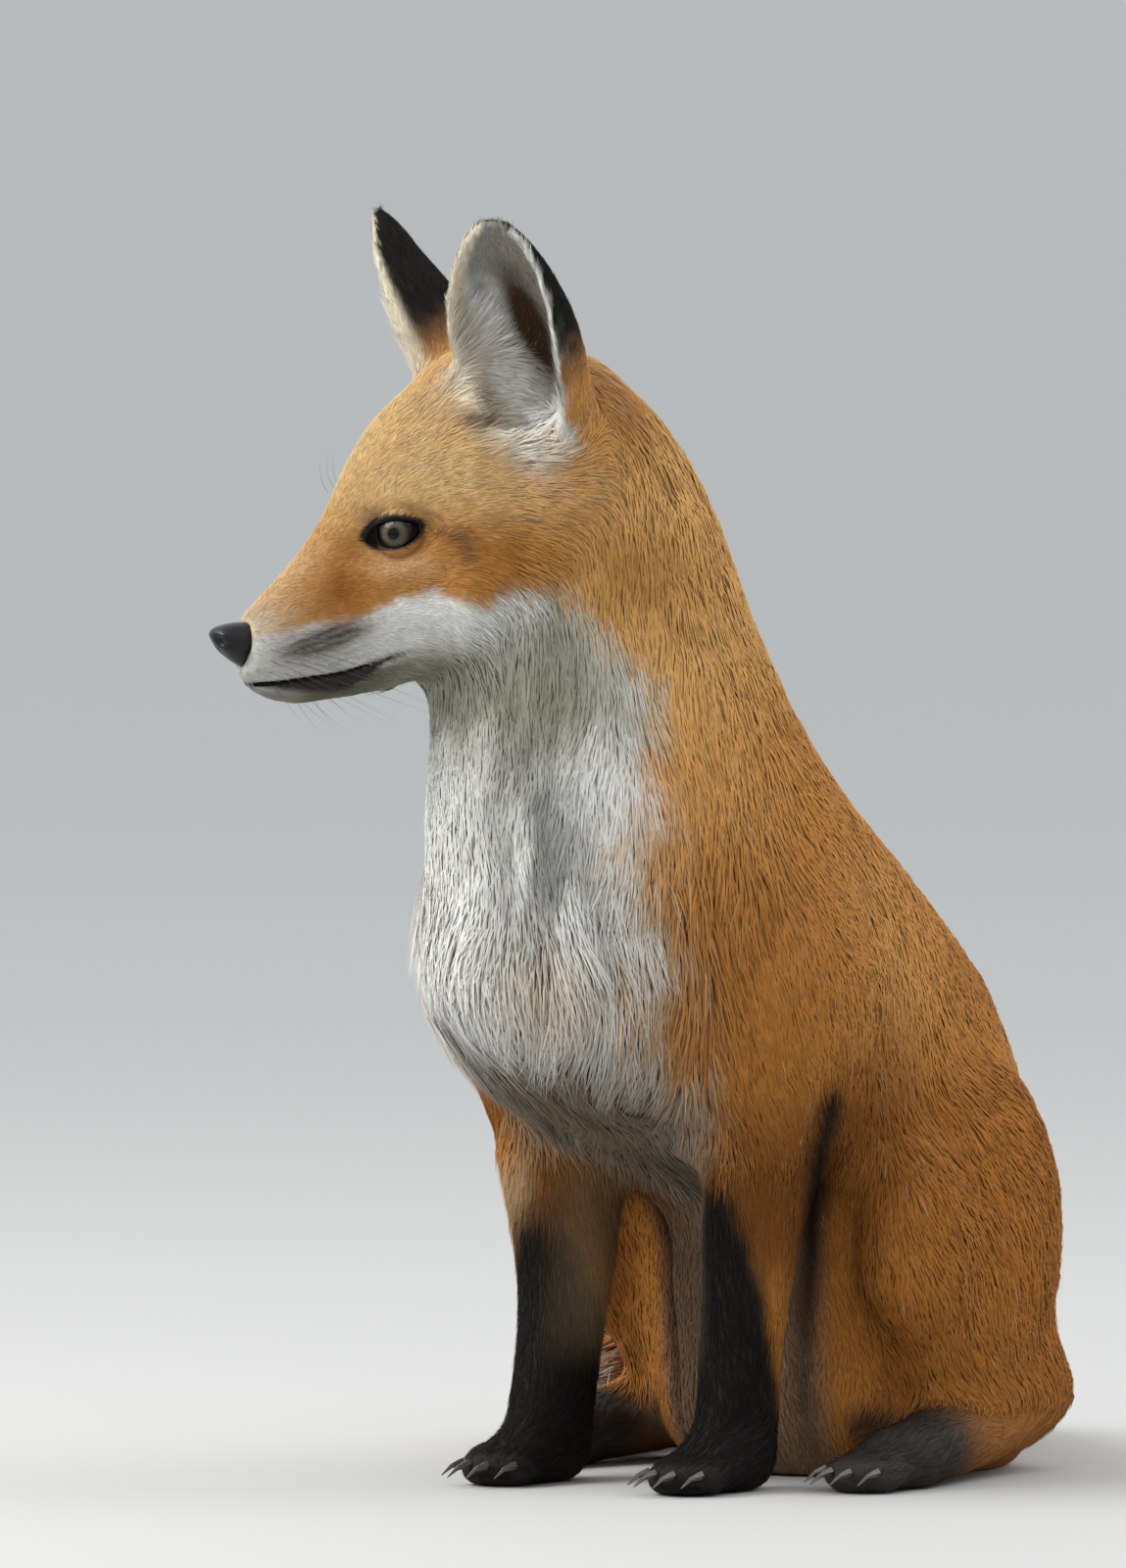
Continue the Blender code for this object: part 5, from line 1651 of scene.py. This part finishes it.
def place_camera(stage, back, right):
    """A long lens, level with the animal's middle, that sees the view's height at its target."""
    camera = bpy.data.objects.new("camera", bpy.data.cameras.new("camera"))
    target = right * stage.target_right + back.cross(right) * stage.target_up
    camera.location = target + back * stage.distance
    camera.rotation_mode = "QUATERNION"
    camera.rotation_quaternion = (-back).to_track_quat("-Z", "Y")
    camera.data.sensor_width = SENSOR_WIDTH
    camera.data.lens = SENSOR_WIDTH * stage.distance / stage.view_height
    camera.data.clip_end = 200.0
    bpy.context.scene.collection.objects.link(camera)
    bpy.context.scene.camera = camera


DROOPING = {"chest": 0.04, "neck": 0.04, "tail": 0.04}  # how far a tip hangs, as a share of the hair's length


class FOX_OT_finishes(bpy.types.Operator):
    """Make the finishes of hair, skin, eyes, bare dark skin, claws and whiskers"""

    bl_idname = "fox.finishes"
    bl_label = "Finishes"

    def execute(self, context):
        black = dimmed(context.scene.fox_colours.wet_black, 0.5)
        coat_finish()
        skin_finish()
        eye_finish()
        horn_finish()
        whisker_finish()
        wet_skin_finish("fox_nose", black)
        wet_skin_finish("fox_lips", black, roughness=0.6, pebble=900.0, shine=0.03)
        return {"FINISHED"}


class FOX_OT_skin(bpy.types.Operator):
    """Join the frame's flesh into one skin that lies inside it by the coat's depth"""

    bl_idname = "fox.skin"
    bl_label = "Skin"

    def execute(self, context):
        skin = build_skin()
        skin["tree"] = BVHTree.FromPolygons(skin["points"].tolist(), skin["triangles"].tolist())
        short = step(skin["length"], 14 * MM, 4 * MM)[:, None]
        shown = skin["root"] + (0.2 + 0.6 * short) * (skin["tip"] - skin["root"])
        made = new_object("skin", skin["points"], skin["triangles"], bpy.data.materials["fox_skin"], shown)
        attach(made, "root")
        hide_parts(*FLESH)
        BUILT["skin"] = skin
        return {"FINISHED"}


class FOX_OT_eyes(bpy.types.Operator):
    """Make both eyeballs and the dark rims of their lids"""

    bl_idname = "fox.eyes"
    bl_label = "Eyes"

    def execute(self, context):
        for side in SIDES:
            ball = eyeball(side)
            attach(ball, "root")
            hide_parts(f"eye_{side}")
            points, faces = lid_rim(side)
            faces = outward_faces(points, faces)
            rim = new_object(f"lids_{side}", points, faces, bpy.data.materials["fox_lips"])
            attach(rim, "root")
        return {"FINISHED"}


class FOX_OT_nose(bpy.types.Operator):
    """Make the nose's leather with its nostrils"""

    bl_idname = "fox.nose"
    bl_label = "Nose"

    def execute(self, context):
        made = new_object("nose_leather", *nose_leather(), bpy.data.materials["fox_nose"])
        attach(made, "root")
        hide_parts("nose")
        return {"FINISHED"}


class FOX_OT_lips(bpy.types.Operator):
    """Make the dark line of the closed lips on both sides"""

    bl_idname = "fox.lips"
    bl_label = "Lips"

    def execute(self, context):
        points, faces = join_arrays([lip_line(BUILT["skin"], sign) for sign in SIDES.values()])
        made = new_object("lips", points, outward_faces(points, faces), bpy.data.materials["fox_lips"])
        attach(made, "root")
        return {"FINISHED"}


class FOX_OT_whiskers(bpy.types.Operator):
    """Make the whiskers of the muzzle, chin and brows"""

    bl_idname = "fox.whiskers"
    bl_label = "Whiskers"

    def execute(self, context):
        points, faces = whiskers(BUILT["skin"])
        made = new_object("whiskers", points, faces, bpy.data.materials["fox_whisker"])
        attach(made, "root")
        return {"FINISHED"}


class FOX_OT_claws(bpy.types.Operator):
    """Give the frame's claws their horn"""

    bl_idname = "fox.claws"
    bl_label = "Claws"

    def execute(self, context):
        for name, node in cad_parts.items():
            if name.startswith("claw_"):
                node.data.materials.clear()
                node.data.materials.append(bpy.data.materials["fox_horn"])
        return {"FINISHED"}


class FOX_OT_coat(bpy.types.Operator):
    """Grow the coat, one piece or more for each patch"""

    bl_idname = "fox.coat"
    bl_label = "Coat"

    def execute(self, context):
        skin = BUILT["skin"]
        forward, _, _ = in_head(skin["points"])
        crowded = (skin["length"] * skin["width"]) ** -0.6
        for side in SIDES:
            lids = Lids(side)
            along, rise, out = lids.local(skin["points"])
            crowded = crowded * np.where(out > -0.5 * CM, step(lids.share(along, rise), 1.05, 1.2), 1)
        crowded = crowded * (1 - step(forward, 5.1, 5.3)) * (1 - 0.95 * skin["bare"])
        face = step(forward, -4.2, -3.4)
        for index, name in enumerate(PATCHES):
            count = getattr(context.scene, f"fox_coat_{name}").tufts // 1
            share = skin["shares"][:, index] * crowded
            if name == "head":
                made = tufts(skin, "head_face", share * face, int(1.4 * count), 101, short=True)
                made = tufts(skin, "head_cheeks", share * (1 - face), int(0.9 * count), 102)
                continue
            droop, short = DROOPING.get(name, 0.0), name in SHORT_PATCHES
            made = tufts(skin, name, share, count, 103 + index, droop, short)
        return {"FINISHED"}


class FOX_OT_stage(bpy.types.Operator):
    """Make the floor, the soft lights and the camera"""

    bl_idname = "fox.stage"
    bl_label = "Stage"

    def execute(self, context):
        stage = context.scene.fox_stage
        ground = Finish("stage_floor", {"Base Color": (*stage.floor, 1), "Roughness": 0.9})
        floor = new_object("stage_floor", *floor_disc(), ground.material)
        world = bpy.data.worlds.new("soft_sky")
        world.use_nodes = True
        sky = world.node_tree.nodes["Background"]
        sky.inputs["Color"].default_value = (*stage.sky, 1)
        sky.inputs["Strength"].default_value = stage.sky_strength
        context.scene.world = world
        level = math.cos(stage.elevation)
        sine, cosine = math.sin(stage.azimuth), math.cos(stage.azimuth)
        back = Vector((sine * level, -cosine * level, math.sin(stage.elevation)))
        right = Vector((cosine, sine, 0))
        soft_light("key", stage.key_power, back, right)
        soft_light("fill", stage.fill_power, back, right)
        place_camera(stage, back, right)
        context.scene.view_settings.view_transform = "Standard"
        return {"FINISHED"}


class FOX_PT_panel(bpy.types.Panel):
    """The steps that dress the fox, in order"""

    bl_label = "Sitting fox"
    bl_idname = "FOX_PT_panel"
    bl_space_type = "VIEW_3D"
    bl_region_type = "UI"
    bl_category = "Fox"

    def draw(self, context):
        for operator in OPERATORS:
            self.layout.operator(operator.bl_idname)


SETTINGS = {
    "fox_skin": FoxSkin, "fox_head": FoxHead, "fox_colours": FoxColours, "fox_stage": FoxStage,
    **{f"fox_coat_{name}": group for name, group in COATS.items()},
}
OPERATORS = [
    FOX_OT_finishes, FOX_OT_skin, FOX_OT_eyes, FOX_OT_nose, FOX_OT_lips, FOX_OT_whiskers, FOX_OT_claws,
    FOX_OT_coat, FOX_OT_stage,
]
CLASSES = [*SETTINGS.values(), *OPERATORS, FOX_PT_panel]


def register():
    for made in CLASSES:
        bpy.utils.register_class(made)
    for name, group in SETTINGS.items():
        setattr(bpy.types.Scene, name, PointerProperty(type=group))


def unregister():
    for name in SETTINGS:
        delattr(bpy.types.Scene, name)
    for made in reversed(CLASSES):
        bpy.utils.unregister_class(made)


def main():
    register()
    for operator in OPERATORS:
        getattr(bpy.ops.fox, operator.bl_idname.split(".")[1])()


if __name__ == "__main__":
    main()
